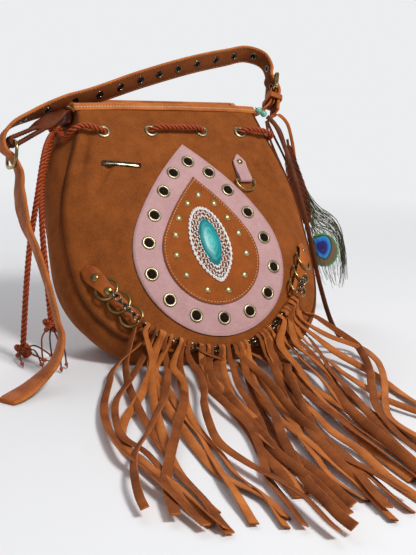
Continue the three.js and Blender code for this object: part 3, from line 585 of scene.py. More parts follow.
bm = bmesh.new()
wrap(bm, 16, len(mouth), lambda u, v: binding_point(
    mouth[round(v * len(mouth)) % len(mouth)], *binding_section[round(u * 16) % 16]))
bmesh.ops.recalc_face_normals(bm, faces=bm.faces)
keep("rim binding", bm, [BINDING_LOOK], stands_for=["rim_binding"])

seams = mouth_stations(66, 14)
STITCH_DOWN = 4.6
LONGEST_STITCH = 6
bm = bmesh.new()
for here, following in zip(seams, seams[1:] + seams[:1]):
    start, end = (binding_point(station, 0, BINDING_FAR + 0.1, STITCH_DOWN) for station in (here, following))
    reach = end - start
    if reach.length < LONGEST_STITCH:
        stitch(bm, start.lerp(end, 0.5), reach.normalized(), here[2], (reach.length * 0.7, 1.7, 1.1))
keep("binding stitches", bm, [CREAM_THREAD])

# Rim eyelets: eight rolled brass eyelets set through both panels for the drawstring
# Each has a broad domed flange outside and a short tube through the suede
def turned(bm, profile, spot, axis, sides=32, material=0):
    first = axis.orthogonal().normalized()
    second = axis.cross(first)
    last = len(profile) - 1

    def place(u, v):
        r, h = profile[round(v * last)]
        angle = 2 * math.pi * u
        return spot + axis * h + first * (math.cos(angle) * r) + second * (math.sin(angle) * r)
    wrap(bm, sides, last, place, material)


def old_metal(name, dark, light, roughness=0.34):
    look = Finish(name)
    cloud = look.noise(120, 3, 0.5)
    tone = look.ramp(cloud, (0.3, dark), (0.72, light))
    rough = look.ramp(cloud, (0.3, (roughness + 0.1,) * 3 + (1,)), (0.65, (roughness,) * 3 + (1,)))
    look.paint(Base_Color=tone, Metallic=1.0, Roughness=rough,
               Normal=look.bump(cloud + look.noise(900, 2) * 0.3, 0.0001, 0.5))
    return look.material


EYELET_LOOK = old_metal("eyelet brass", linear(120, 110, 84), linear(196, 186, 154), 0.36)
SHADOW_LOOK = suede("suede in shade", linear(18, 8, 4), linear(40, 18, 8))

RIM_SPOTS = [-96.7, -34.9, 34.1, 89.8]
RIM_SPOT_LENGTH = 288
EYELET_PROFILE = [
    (5, -2.8), (5.6, -2.8), (5.6, 0.2), (8.3, 0.2), (8.5, 0.5), (8.3, 0.9), (7.6, 1.25), (6.7, 1.5),
    (5.9, 1.5), (5.2, 1.1), (5, 0.5), (5, -2.8),
]
for side, on_panel, normal_of in (("front", on_front, front_normal), ("back", on_back, back_normal)):
    for i, x in enumerate(RIM_SPOTS):
        bm = bmesh.new()
        turned(bm, EYELET_PROFILE, on_panel(x, RIM_SPOT_LENGTH), normal_of(x, RIM_SPOT_LENGTH), 36)
        turned(bm, [(0.1, 0), (5.1, 0), (5.1, -0.5), (0.1, -0.5)], on_panel(x, RIM_SPOT_LENGTH, -2.2),
               normal_of(x, RIM_SPOT_LENGTH), 20, 1)
        keep(f"rim eyelet {side} {i + 1}", bm, [EYELET_LOOK, SHADOW_LOOK],
             stands_for=[f"rim_eyelet_{side}_{i + 1}"])

# Drawstring: one rope of three twisted silk strands, woven through the rim eyelets and hitched
# at the left; both ends hang from the hitch and finish in overhand knots with loose strands
def curve_point(points, t):
    """The point at t, 0 to 1, on a smooth line through points."""
    last = len(points) - 1
    spot = min(max(t, 0), 1) * last
    i = min(int(spot), last - 1)
    p1, p2 = points[i], points[i + 1]
    p0 = points[i - 1] if i else p1 * 2 - p2
    p3 = points[i + 2] if i + 2 <= last else p2 * 2 - p1
    b = (p2 - p1).length ** 0.5 or 1
    a = (p1 - p0).length ** 0.5 or b
    c = (p3 - p2).length ** 0.5 or b
    start = ((p1 - p0) / a - (p2 - p0) / (a + b) + (p2 - p1) / b) * b
    end = ((p2 - p1) / b - (p3 - p1) / (b + c) + (p3 - p2) / c) * b
    w = spot - i
    return (p1 + start * w + (-3 * p1 + 3 * p2 - 2 * start - end) * w ** 2
            + (2 * p1 - 2 * p2 + start + end) * w ** 3)


def even(points, count):
    """Count + 1 points at even lengths along a fine line of points."""
    lengths = [0]
    for a, b in zip(points, points[1:]):
        lengths.append(lengths[-1] + (b - a).length)
    out, i = [], 0
    for k in range(count + 1):
        aim = lengths[-1] * k / count
        while i < len(points) - 2 and lengths[i + 1] < aim:
            i += 1
        share = (aim - lengths[i]) / max(lengths[i + 1] - lengths[i], 1e-9)
        out.append(points[i].lerp(points[i + 1], min(max(share, 0), 1)))
    return out


def route_through(points, count):
    fine = (len(points) - 1) * 24
    return even([curve_point(points, i / fine) for i in range(fine + 1)], count)


ROPE_DIAMETER = 7
ROPE_TWIST = 17
STRAND_OFFSET = 0.275
STRAND_RADIUS = 0.25


def silk():
    look = Finish("rust silk")
    strand = look.noise(1800, 2, 0.6)
    cloud = look.noise(60, 3)
    # Painted shade: each strand's colour darkens round towards the grooves between the strands, following the
    # UV that runs round it
    painted_groove_shade = (look.node("SeparateXYZ", Vector=look.uv, output="X") * (2 * math.pi)).maths("COSINE")
    tone = look.ramp(strand * 0.2 + cloud * 0.2 + painted_groove_shade * 0.36 + 0.3, (0.3, linear(24, 8, 3)),
                     (0.52, linear(108, 38, 12)), (0.8, linear(168, 70, 24)))
    look.paint(Base_Color=tone, Roughness=0.5, Specular_IOR_Level=0.3,
               Normal=look.bump(strand, 0.0002, 0.5))
    return look.material


SILK_LOOK = silk()


def twisted(bm, points, diameter=ROPE_DIAMETER, strands=3, twist=ROPE_TWIST, sides=8):
    """Strands laid round each other along a line of points."""
    total = length_of(points)
    line = even(points, max(int(total / 1.1), 12))
    runs = runs_of(line)
    sides_of = carried_sides(runs)
    last = len(line) - 1
    for k in range(strands):
        outs = []
        for i in range(last + 1):
            angle = 2 * math.pi * (k / strands + total * i / last / twist)
            outs.append(sides_of[i] * math.cos(angle) + runs[i].cross(sides_of[i]) * math.sin(angle))
        centres = [p + out * diameter * STRAND_OFFSET for p, out in zip(line, outs)]
        centre_runs = runs_of(centres)

        def place(u, v):
            i = round(v * last)
            out = side_of(outs[i], centre_runs[i])
            size = diameter * STRAND_RADIUS * min(1, 0.15 + min(v, 1 - v) * total / diameter * 2)
            angle = 2 * math.pi * u
            return (centres[i] + out * (math.cos(angle) * size)
                    + centre_runs[i].cross(out) * (math.sin(angle) * size))
        wrap(bm, sides, last, place)


def overhand(bm, spot, size=3.1, rope=4.6):
    loop = []
    for i in range(61):
        a = 2 * math.pi * i / 60
        r = 2 + math.cos(3 * a)
        away = point(r * math.cos(2 * a), r * math.sin(2 * a), 1.9 * math.sin(3 * a))
        loop.append(spot + away * size * 0.62)
    twisted(bm, loop, rope, 3, 9, 6)


def weave(on_panel, start, end, outside):
    h = 8 if outside else -9
    sign = 1 if h > 0 else -1
    step = math.copysign(7, end - start)
    rows = [(start, 2.5 * sign), (start + step, h), ((start + end) / 2, h + sign), (end - step, h),
            (end, 2.5 * sign)]
    return [on_panel(x, RIM_SPOT_LENGTH, out - SUEDE_THICKNESS / 2) for x, out in rows]


def on_side(right, v, h):
    return on_gusset(seam_share(right, RIM_SPOT_LENGTH - 6), v, h)


held_rope = [
    on_side(False, 0.55, 9), on_side(False, 0.12, 8), on_front(-133, 291, 7), on_front(-121, 293, 9),
    *weave(on_front, -108, RIM_SPOTS[0], True)[3:],
    *weave(on_front, RIM_SPOTS[0], RIM_SPOTS[1], False),
    *weave(on_front, RIM_SPOTS[1], RIM_SPOTS[2], True),
    *weave(on_front, RIM_SPOTS[2], RIM_SPOTS[3], False),
    *weave(on_front, RIM_SPOTS[3], 108, True)[:2],
    on_front(121, 287, 9), on_front(133, 286, 6), on_side(True, 0.12, 8), on_side(True, 0.5, 9),
    on_side(True, 0.88, 8), on_back(133, 286, 6), on_back(121, 287, 9),
    *weave(on_back, 108, RIM_SPOTS[3], True)[3:],
    *weave(on_back, RIM_SPOTS[3], RIM_SPOTS[2], False),
    *weave(on_back, RIM_SPOTS[2], RIM_SPOTS[1], True),
    *weave(on_back, RIM_SPOTS[1], RIM_SPOTS[0], False),
    *weave(on_back, RIM_SPOTS[0], -108, True)[:2],
    on_back(-121, 287, 9), on_back(-133, 286, 6), on_side(False, 0.88, 8), on_side(False, 0.58, 9),
]
clean_rope = [held_rope[0]]
for spot in held_rope[1:]:
    if (spot - clean_rope[-1]).length > 0.5:
        clean_rope.append(spot)
bm = bmesh.new()
twisted(bm, route_through(clean_rope, 900))
overhand(bm, on_side(False, 0.56, 10.5), 4.2, 5.6)
keep("drawstring", bm, [SILK_LOOK], stands_for=["drawstring"])

FRONT_ROPE = [point(*p) for p in (
    (-148.6, 119.6, 247.6), (-160, 100, 241), (-171, 80, 229), (-181, 62, 207), (-189, 50, 181),
    (-196, 42, 155), (-202, 36, 128), (-206.5, 31, 95), (-210, 27, 60), (-213.4, 23.6, 12))]
REAR_ROPE = [point(*p) for p in (
    (-147.4, 126.3, 240.3), (-154.5, 117, 225), (-163, 104, 211), (-170, 90, 199), (-176, 74, 188),
    (-182, 56, 176), (-188, 36, 160), (-191, 22, 136), (-191, 11, 105), (-189, 6, 72), (-186.6, 5, 46))]


def rope_end(name, route, node):
    line = route_through(route, 40)
    bm = bmesh.new()
    twisted(bm, line)
    made = keep(name, bm, [SILK_LOOK], stands_for=[node])
    line[0] * MM
    length_of(line) * MM
    [p * MM for p in line]


rope_end("rope end front", FRONT_ROPE, "rope_end_front")
rope_end("rope end rear", REAR_ROPE, "rope_end_rear")


def frayed_knot(name, spot, ends):
    bm = bmesh.new()
    overhand(bm, spot, 4.4, 5.8)
    for drop, out in ends:
        line = route_through([spot, spot + (drop - spot) * 0.35 + point(*out),
                              drop.lerp(spot, 0.3) + point(*out) * 0.6, drop], 22)
        tube(bm, line, 0.95, 6)
        bmesh.ops.create_uvsphere(bm, u_segments=8, v_segments=6, radius=2.3,
                                  matrix=Matrix.Translation(line[-1]))
        tail = drop + (drop - line[-4]).normalized() * 7
        tail.z = max(tail.z, 1.2)
        tube(bm, route_through([drop, drop.lerp(tail, 0.5) + point(0.5, 0.3, 0.6), tail], 6), 0.8, 6)
    keep(name, bm, [SILK_LOOK])


frayed_knot("front rope knot", point(-213.6, 23.4, 9.3), [
    (point(-196, -4, 4), (-5, -7, 4)), (point(-184, 12, 4), (3, 6, 6)), (point(-205, -18, 4), (4, -5, 7)),
    (point(-224, -8, 4), (-4, 0, 5))])
frayed_knot("rear rope knot", point(-186.4, 4.6, 42), [
    (point(-194, -26, 5), (-5, -8, 3)), (point(-180, -30, 5), (4, -6, 2)), (point(-190, -42, 4), (0, -12, 2)),
    (point(-202, -14, 8), (-6, 2, 1))])

# Pink teardrop: a suede cut-out sewn to the front near its edge
# Sixteen brass eyelets are set round it; each is a rolled ring over a dark hole
def stitch_row(bm, spots, place, normal_at, pitch_share=0.62, thread=0.85):
    """Stitches along a line of flat spots; place puts a spot on the piece."""
    for a, b in zip(spots, spots[1:]):
        start, end = place(*a), place(*b)
        run = (end - start).normalized()
        length = (end - start).length * pitch_share
        stitch(bm, start.lerp(end, 0.5), run, normal_at(*a), (length, thread, thread * 0.8))


PINK_LOOK = suede("pink suede", linear(178, 136, 136), linear(214, 174, 174), 0.0002)

PINK = {"centre": 114, "radius": 97, "tip": 266, "floor": 0.5, "thickness": 1.6}
TAN = {"centre": 116, "radius": 62, "tip": 217, "floor": 2.6, "thickness": 1.4}


def tear_half(tear, s):
    joint = tear["centre"] + 0.47 * tear["radius"]
    if s <= joint:
        return math.sqrt(max(tear["radius"] ** 2 - (s - tear["centre"]) ** 2, 0))
    wide = math.sqrt(tear["radius"] ** 2 - (joint - tear["centre"]) ** 2)
    t = (s - joint) / (tear["tip"] - joint)
    fullness = 1 - (joint - tear["centre"]) * (tear["tip"] - joint) / wide ** 2
    return wide * (1 - t) * (1 + fullness * t)


def tear_length(tear, v):
    low, high = tear["centre"] - tear["radius"], tear["tip"]
    return mix(low, high, (1 - math.cos(math.pi * mix(0.006, 0.99, v))) / 2)


def tear_top(tear):
    return tear["floor"] + tear["thickness"]


def teardrop(tear):
    def place(u, v):
        s = tear_length(tear, v)
        half = tear_half(tear, s)
        across = 2 * u - 1
        edge = 0.5 * smooth((abs(across) - 1 + 3 / max(half, 3)) * max(half, 3) / 3)
        return on_front(across * half, s, tear_top(tear) - edge)
    bm = bmesh.new()
    patch(bm, 60, 80, place)
    return bm


def tear_outline(tear, inset, count):
    """Even flat spots along the teardrop's outline, drawn in by inset; the first is at the tip."""
    low = tear["centre"] - tear["radius"]
    right = [Vector((tear_half(tear, s), s, 0)) for s in
             (mix(tear["tip"], low, (1 - math.cos(math.pi * i / 160)) / 2) for i in range(161))]
    ring = right + [Vector((-p.x, p.y, 0)) for p in reversed(right[1:-1])]
    runs = runs_of(ring, closed=True)
    inner = [p + Vector((run.y, -run.x, 0)) * inset for p, run in zip(ring, runs)]
    return [(p.x, p.y) for p in even(inner + inner[:1], count)]


keep("pink teardrop", teardrop(PINK), [PINK_LOOK], stands_for=["teardrop_pink"],
     modifiers=[thick(PINK["thickness"])])
bm = bmesh.new()
stitch_row(bm, tear_outline(PINK, 2.6, 190), lambda x, s: on_front(x, s, 2.2), front_normal, 0.6, 0.7)
keep("pink teardrop stitches", bm, [thread("rose thread", linear(196, 150, 148))])

PINK_EYELETS = [(0, 240), (0, 38)] + [(turn * x, s) for turn in (1, -1) for x, s in (
    (24, 224), (43, 199), (62, 168), (76, 134), (80, 96), (64, 64), (35, 43.5))]
bm = bmesh.new()
for x, s in PINK_EYELETS:
    seat = on_front(x, s, tear_top(PINK))
    turned(bm, [(5.2, -0.9), (8.2, -0.2), (8.5, 0.3), (8.2, 0.9), (7.2, 1.35), (6.2, 1.35), (5.4, 0.9),
                (5.1, 0.2), (5.2, -0.9)],
           seat, front_normal(x, s), 28)
    turned(bm, [(0.1, 0.12), (5.3, 0.12), (5.3, -0.2), (0.1, -0.2)], seat, front_normal(x, s), 16, 1)
keep("teardrop eyelets", bm, [EYELET_LOOK, SHADOW_LOOK])

# Tan teardrop: smaller, laid on the pink one and sewn with cream thread
# Thirteen domed brass studs run round it inside the stitches
STUD_LOOK = old_metal("stud brass", linear(178, 158, 106), linear(224, 206, 156), 0.36)
TAN_LOOK = suede("tan suede", linear(118, 58, 20), linear(180, 98, 42), 0.0003)

keep("tan teardrop", teardrop(TAN), [TAN_LOOK], stands_for=["teardrop_tan"],
     modifiers=[thick(TAN["thickness"])])
bm = bmesh.new()
stitch_row(bm, tear_outline(TAN, 2.6, 112), lambda x, s: on_front(x, s, tear_top(TAN) + 0.15), front_normal,
           0.62, 1.0)
keep("tan teardrop stitches", bm, [CREAM_THREAD])
bm = bmesh.new()
STUDS = [(0, 192), (18, 180), (31, 161), (41, 140), (45, 114), (36, 87), (11, 70), (-16, 72), (-39, 91),
         (-46, 116), (-42, 141), (-33, 162), (-17, 181)]
for x, s in STUDS:
    turned(bm, [(0.05, 2.3), (1.8, 2.05), (3.2, 1.4), (4.1, 0.5), (4.3, -0.3)],
           on_front(x, s, tear_top(TAN)), front_normal(x, s), 20)
keep("teardrop studs", bm, [STUD_LOOK])

# Lace medallion: white crochet in the shape of a pointed oval, sewn to the tan teardrop
# Threads cross in a net of diamonds round the stone and end in a looped rim
LACE_FLOOR = tear_top(TAN) + 0.3


def oval_spot(angle, share, half_w=25, half_h=46.5, middle=(0, 128)):
    q = math.sin(angle)
    across = half_w * math.cos(angle) * share * (1 - 0.42 * max(-q, 0) ** 3 - 0.06 * max(q, 0))
    along = q * half_h * share
    turn = math.radians(5)
    return (middle[0] + across * math.cos(turn) - along * math.sin(turn),
            middle[1] + across * math.sin(turn) + along * math.cos(turn))


def lace(bm):
    petals = 22
    rows = [0.46, 0.58, 0.7, 0.82, 0.92, 0.98]

    def node(k, row, h):
        x, s = oval_spot(2 * math.pi * (k + (0.5 if row % 2 else 0)) / petals, rows[row])
        return on_front(x, s, LACE_FLOOR + h)
    for row in range(5):
        for k in range(petals):
            for step in ((0, 1) if row % 2 else (-1, 0)):
                a, b = node(k, row, 0.8), node(k + step, row + 1, 0.8)
                tube(bm, route_through([a, a.lerp(b, 0.5) + front_normal(0, 130) * 0.4, b], 3), 0.85, 5)
    for share, size in ((0.46, 1.0), (0.97, 0.9)):
        ring = [on_front(*oval_spot(2 * math.pi * i / 90, share), LACE_FLOOR + 0.9) for i in range(91)]
        tube(bm, ring, size, 6, round_ends=False)
    for k in range(petals * 2):
        start, end = (2 * math.pi * (k + d) / (petals * 2) for d in (0, 1))
        spots = [on_front(*oval_spot(mix(start, end, t), out), LACE_FLOOR + 0.7) for t, out in
                 ((0, 0.97), (0.2, 1.0), (0.5, 1.03), (0.8, 1.0), (1, 0.97))]
        tube(bm, route_through(spots, 5), 0.7, 5)


bm = bmesh.new()
lace(bm)
keep("lace medallion", bm, [thread("white crochet", linear(252, 250, 246))],
     stands_for=["lace_medallion"])

# Turquoise stone: a polished slice of banded agate with a low dome, held by the lace
# Its bands follow the outline of the slice
STONE_FLOOR = LACE_FLOOR + 1.5


def agate():
    look = Finish("banded turquoise")
    across = look.node("SeparateXYZ", Vector=look.uv, output="Y")
    cloud = look.noise(90, 4)
    wave = (across * 26 + cloud * 7).maths("SINE") * 0.5 + 0.5
    tone = look.ramp(wave * 0.25 + across * 0.55 + cloud * 0.25, (0.2, linear(70, 196, 190)),
                     (0.55, linear(26, 158, 158)), (0.85, linear(12, 112, 122)))
    look.paint(Base_Color=tone, Roughness=0.34, Specular_IOR_Level=0.35, Coat_Weight=0.08, Coat_Roughness=0.2)
    return look.material


bm = bmesh.new()
wrap(bm, 64, 16, lambda u, v: on_front(
    *oval_spot(2 * math.pi * u, max(v, 0.004), 13, 30, (0, 130)),
    STONE_FLOOR + 2.6 * (1 - max(v, 0.004) ** 3)))
wrap(bm, 64, 1, lambda u, v: on_front(*oval_spot(2 * math.pi * u, 1, 13, 30, (0, 130)),
                                      STONE_FLOOR - 1.2 * v))
keep("turquoise stone", bm, [agate()], stands_for=["turquoise_stone"])

# Front bar: a plain dark metal bar at the upper left of the panel
# It is bent to the panel's curve and lies flat on the suede
def ribbon(bm, points, widths, width, thickness, edge=0.45, materials=(0, 0, 0)):
    """A strap with rounded edges along points; materials are those of its top, its edges and its back."""
    runs = runs_of(points)
    last = len(points) - 1
    layout = [(-1, 0, 1), (0, 0, 1), (1, 0, 1), (1, 1, 0.5), (1, 1, -0.5), (1, 0, -1), (0, 0, -1),
              (-1, 0, -1), (-1, 1, -0.5), (-1, 1, 0.5)]

    def place(u, v):
        i = round(v * last)
        side = side_of(widths[i], runs[i])
        face = side.cross(runs[i])
        wide = width(v) if callable(width) else width
        out, edged, up = layout[round(u * 10) % 10]
        reach = out * (wide / 2 - (0 if edged else min(edge * thickness, wide / 3)))
        return points[i] + side * reach + face * (up * thickness / 2)
    made = patch(bm, 10, last, place, materials[0])
    parts = [0, 0, 1, 1, 1, 2, 2, 1, 1, 1]
    layer = bm.loops.layers.uv.active
    for face in {f for v in made for f in v.link_faces}:
        middle = sum(loop[layer].uv.x for loop in face.loops) / 4
        face.material_index = materials[parts[int(middle * 10)]]
    bmesh.ops.remove_doubles(bm, verts=made, dist=1e-4)
    rims = {e for v in made if v.is_valid for e in v.link_edges if e.is_boundary}
    bmesh.ops.holes_fill(bm, edges=list(rims), sides=12)


GUN_LOOK = old_metal("gunmetal", linear(44, 38, 32), linear(150, 138, 118), 0.16)

BAR_STEPS = 12
bm = bmesh.new()
bar_spots = [(mix(-108, -62.5, i / BAR_STEPS), mix(244, 236, i / BAR_STEPS)) for i in range(BAR_STEPS + 1)]
bar_line = [on_front(x, s, 1.3) for x, s in bar_spots]
bar_up = [on_front(x, s + 4, 1.3) - p for (x, s), p in zip(bar_spots, bar_line)]
ribbon(bm, bar_line, bar_up, 6, 2, 0.35)
keep("front bar", bm, [GUN_LOOK], stands_for=["front_bar"])

# Pink tab: a strip of pink suede folded round the straight side of a brass D ring
# One rivet through both layers holds it to the panel, and the ring hangs from the fold
def loop_wire(bm, outline, wire, steps, centre, first, second, sides=10):
    """A wire bent into a flat closed loop; outline gives its two coordinates at an angle."""
    normal = first.cross(second).normalized()
    spots = [centre + first * a + second * b
             for a, b in (outline(2 * math.pi * i / steps) for i in range(steps))]
    runs = runs_of(spots, closed=True)

    def place(u, v):
        i = round(v * steps) % steps
        out = runs[i].cross(normal).normalized()
        angle = 2 * math.pi * u
        return spots[i] + out * (math.cos(angle) * wire / 2) + normal * (math.sin(angle) * wire / 2)
    wrap(bm, sides, steps, place)


BRASS_LOOK = old_metal("old brass", linear(128, 112, 66), linear(196, 176, 116), 0.26)

TAB_X, TAB_BOTTOM = 71, 213
TAB_LOW, TAB_HIGH, TAB_FOLD = 1.3, 3.2, 2.55
TAB_SIDE = (front_surface(TAB_X + 1, TAB_BOTTOM) - front_surface(TAB_X - 1, TAB_BOTTOM)).normalized()
tab_route = [(TAB_BOTTOM + 26, TAB_LOW), (TAB_BOTTOM + 12, TAB_LOW), (TAB_BOTTOM, TAB_LOW)]
for i in range(1, 6):
    angle = math.pi * i / 6
    tab_route.append((TAB_BOTTOM - TAB_FOLD * math.sin(angle), TAB_LOW + TAB_FOLD * (1 - math.cos(angle))))
tab_route += [(TAB_BOTTOM, TAB_LOW + 2 * TAB_FOLD), (TAB_BOTTOM + 6, TAB_LOW + 2 * TAB_FOLD - 0.6),
              (TAB_BOTTOM + 14, TAB_HIGH + 0.6), (TAB_BOTTOM + 24, TAB_HIGH), (243, TAB_HIGH),
              (250, TAB_HIGH)]
TAB_STEPS = 90
tab_line = route_through([on_front(TAB_X, s, h) for s, h in tab_route], TAB_STEPS)


def tab_width(v):
    return mix(16, 18, v) if v < 0.86 else mix(17.7, 3, (v - 0.86) / 0.14)


bm = bmesh.new()
ribbon(bm, tab_line, [TAB_SIDE] * (TAB_STEPS + 1), tab_width, 1.6)
keep("pink tab", bm, [PINK_LOOK], stands_for=["pink_tab"])


def rivet(bm, spot, axis, radius=4.8):
    turned(bm, [(0.05, 2.0), (radius * 0.3, 1.9), (radius * 0.62, 1.45), (radius * 0.86, 0.85),
                (radius, 0.35), (radius, -0.2)],
           spot, axis, 24)


bm = bmesh.new()
rivet(bm, on_front(TAB_X, 239, TAB_HIGH + 0.9), front_normal(TAB_X, 239), 4)
keep("pink tab rivet", bm, [BRASS_LOOK], stands_for=["pink_tab_rivet"])

ring_centre = on_front(TAB_X, TAB_BOTTOM, TAB_LOW + TAB_FOLD)
ring_down = side_of(on_front(TAB_X, TAB_BOTTOM - 12, TAB_LOW + TAB_FOLD) - ring_centre, TAB_SIDE)
bm = bmesh.new()
loop_wire(bm, lambda a: (math.cos(a) * 13.25, max(math.sin(a), 0) ** 0.8 * 15), 2.5, 72, ring_centre,
          TAB_SIDE, ring_down)
keep("tab D ring", bm, [BRASS_LOOK], body="d_ring", stands_for=["pink_tab_d_ring"])

# Chain straps: a short pointed leather strap at each side of the belly, riveted down
# Each lies over the upper edges of three O rings and under their lower edges
STRAP_LOOK = leather("strap leather", linear(138, 66, 22), linear(194, 104, 42))

RING_MID, RING_WIRE, STRAP_RISE = 12.6, 2.8, 5.8
EDGE_LOOK = leather("cut leather edge", linear(150, 82, 42), linear(196, 118, 66), 0.8)


def chain_side(name, tip, spots, rivets):
    first, end_spot, tip_spot = Vector(spots[0]), Vector(spots[2]), Vector(tip)
    along = (end_spot - first).normalized()
    before, end = (tip_spot - first).length, (end_spot - first).length

    def place(run, h):
        spot = first + along * run
        return on_front(spot.x, spot.y, h)

    def across(run):
        spot = first + along * run
        return (place(run, 0) - place(run + 1, 0)).cross(front_normal(spot.x, spot.y)).normalized()

    def width(v):
        return mix(9, 20, v / 0.1) if v < 0.1 else mix(20, 15, smooth((v - 0.15) / 0.3))
    route = [place(-before, 1.8), place(-before + 8, 1.6), place(-RING_MID - 5, 2.9),
             place(-RING_MID, STRAP_RISE),
             place(end / 2, STRAP_RISE), place(end, STRAP_RISE), place(end + RING_MID - 4, STRAP_RISE - 0.5),
             place(end + RING_MID + 2, 1.5)]
    line = route_through(route, 64)
    turns = [across(-before), across(0), across(end + RING_MID)]
    widths = [curve_point(turns, i / 64) for i in range(65)]
    bm = bmesh.new()
    ribbon(bm, line, widths, width, 2, 0.3, (0, 1, 0))
    for i in range(3, 60, 2):
        for edge in (-5.8, 5.8):
            run = runs_of(line)[i]
            side = side_of(widths[i], run)
            up = side.cross(run)
            up = up if up.dot(front_normal(*spots[1])) > 0 else -up
            stitch(bm, line[i] + side * edge + up * 1.05, run, up, (1.7, 0.7, 0.5))
    keep(f"{name} chain strap", bm, [STRAP_LOOK, EDGE_LOOK],
         stands_for=[f"{name}_chain_strap"])
    for i, (x, s) in enumerate(spots):
        normal = front_normal(x, s)
        run = (place(1, 0) - place(-1, 0)).normalized()
        run = (run + normal * (0.33 - run.dot(normal))).normalized()
        side = run.cross(normal).normalized()
        bm = bmesh.new()
        loop_wire(bm, lambda a: (math.cos(a) * RING_MID, math.sin(a) * RING_MID), RING_WIRE, 56,
                  on_front(x, s, STRAP_RISE),
                  side, run, 12)
        keep(f"{name} chain ring {i + 1}", bm, [BRASS_LOOK],
             stands_for=[f"{name}_chain_ring_{i + 1}"])
    for i, (step, lift) in enumerate(rivets):
        run = runs_of(line)[step]
        up = widths[step].cross(run).normalized()
        up = up if up.z > 0 else -up
        bm = bmesh.new()
        rivet(bm, line[step] + up * (1 + lift), up)
        keep(f"{name} chain rivet {i + 1}", bm, [BRASS_LOOK],
             stands_for=[f"{name}_chain_rivet_{i + 1}"])


chain_side("left", (-149, 117), [(-131, 85), (-121, 67.5), (-111, 50)], [(12, 0.6), (28, 0.3)])
chain_side("right", (141, 128.5), [(127, 104), (117, 86.5), (107, 69)], [(8, 0.5)])

# Fringe chain: a gunmetal chain that hangs in a curve between the two sets of rings
# Each round-wire link stands across the next
CHAIN_ROUTE = [
    (-127, 79, 15.4), (-117, 62, 15.4), (-106, 44, 15.4), (-97, 34, 11), (-85, 26, 8.8), (-68, 17, 7.8),
    (-46, 8, 7.8), (-23, 3, 7.8), (4, 2, 7.8), (30, 8, 7.8), (55, 20, 7.8), (74, 34, 8.8), (88, 47, 11),
    (100, 61, 15.4), (112, 80, 15.4),
]
CHAIN_STEPS = 300
chain_line = route_through([on_front(*spot) for spot in CHAIN_ROUTE], CHAIN_STEPS)
chain_runs = runs_of(chain_line)


def chain_link(bm, spot, run, normal):
    side = normal.cross(run).normalized()
    loop_wire(bm, lambda a: (math.cos(a) * 4.9, math.sin(a) * 2.9), 2.1, 18, spot, run, side, 8)


LINKS = 42
bm = bmesh.new()
for k in range(LINKS):
    i = round(CHAIN_STEPS * (k + 0.5) / LINKS)
    spot, run = chain_line[i], chain_runs[i]
    up = side_of(Vector((0, -0.85, 0.5)), run)
    turn = 1 if k % 2 else -1
    chain_link(bm, spot, (run + run.cross(up) * 0.12 * turn).normalized(),
               (up + run.cross(up) * 0.95 * turn).normalized())
keep("fringe chain", bm, [GUN_LOOK], stands_for=["fringe_chain"])
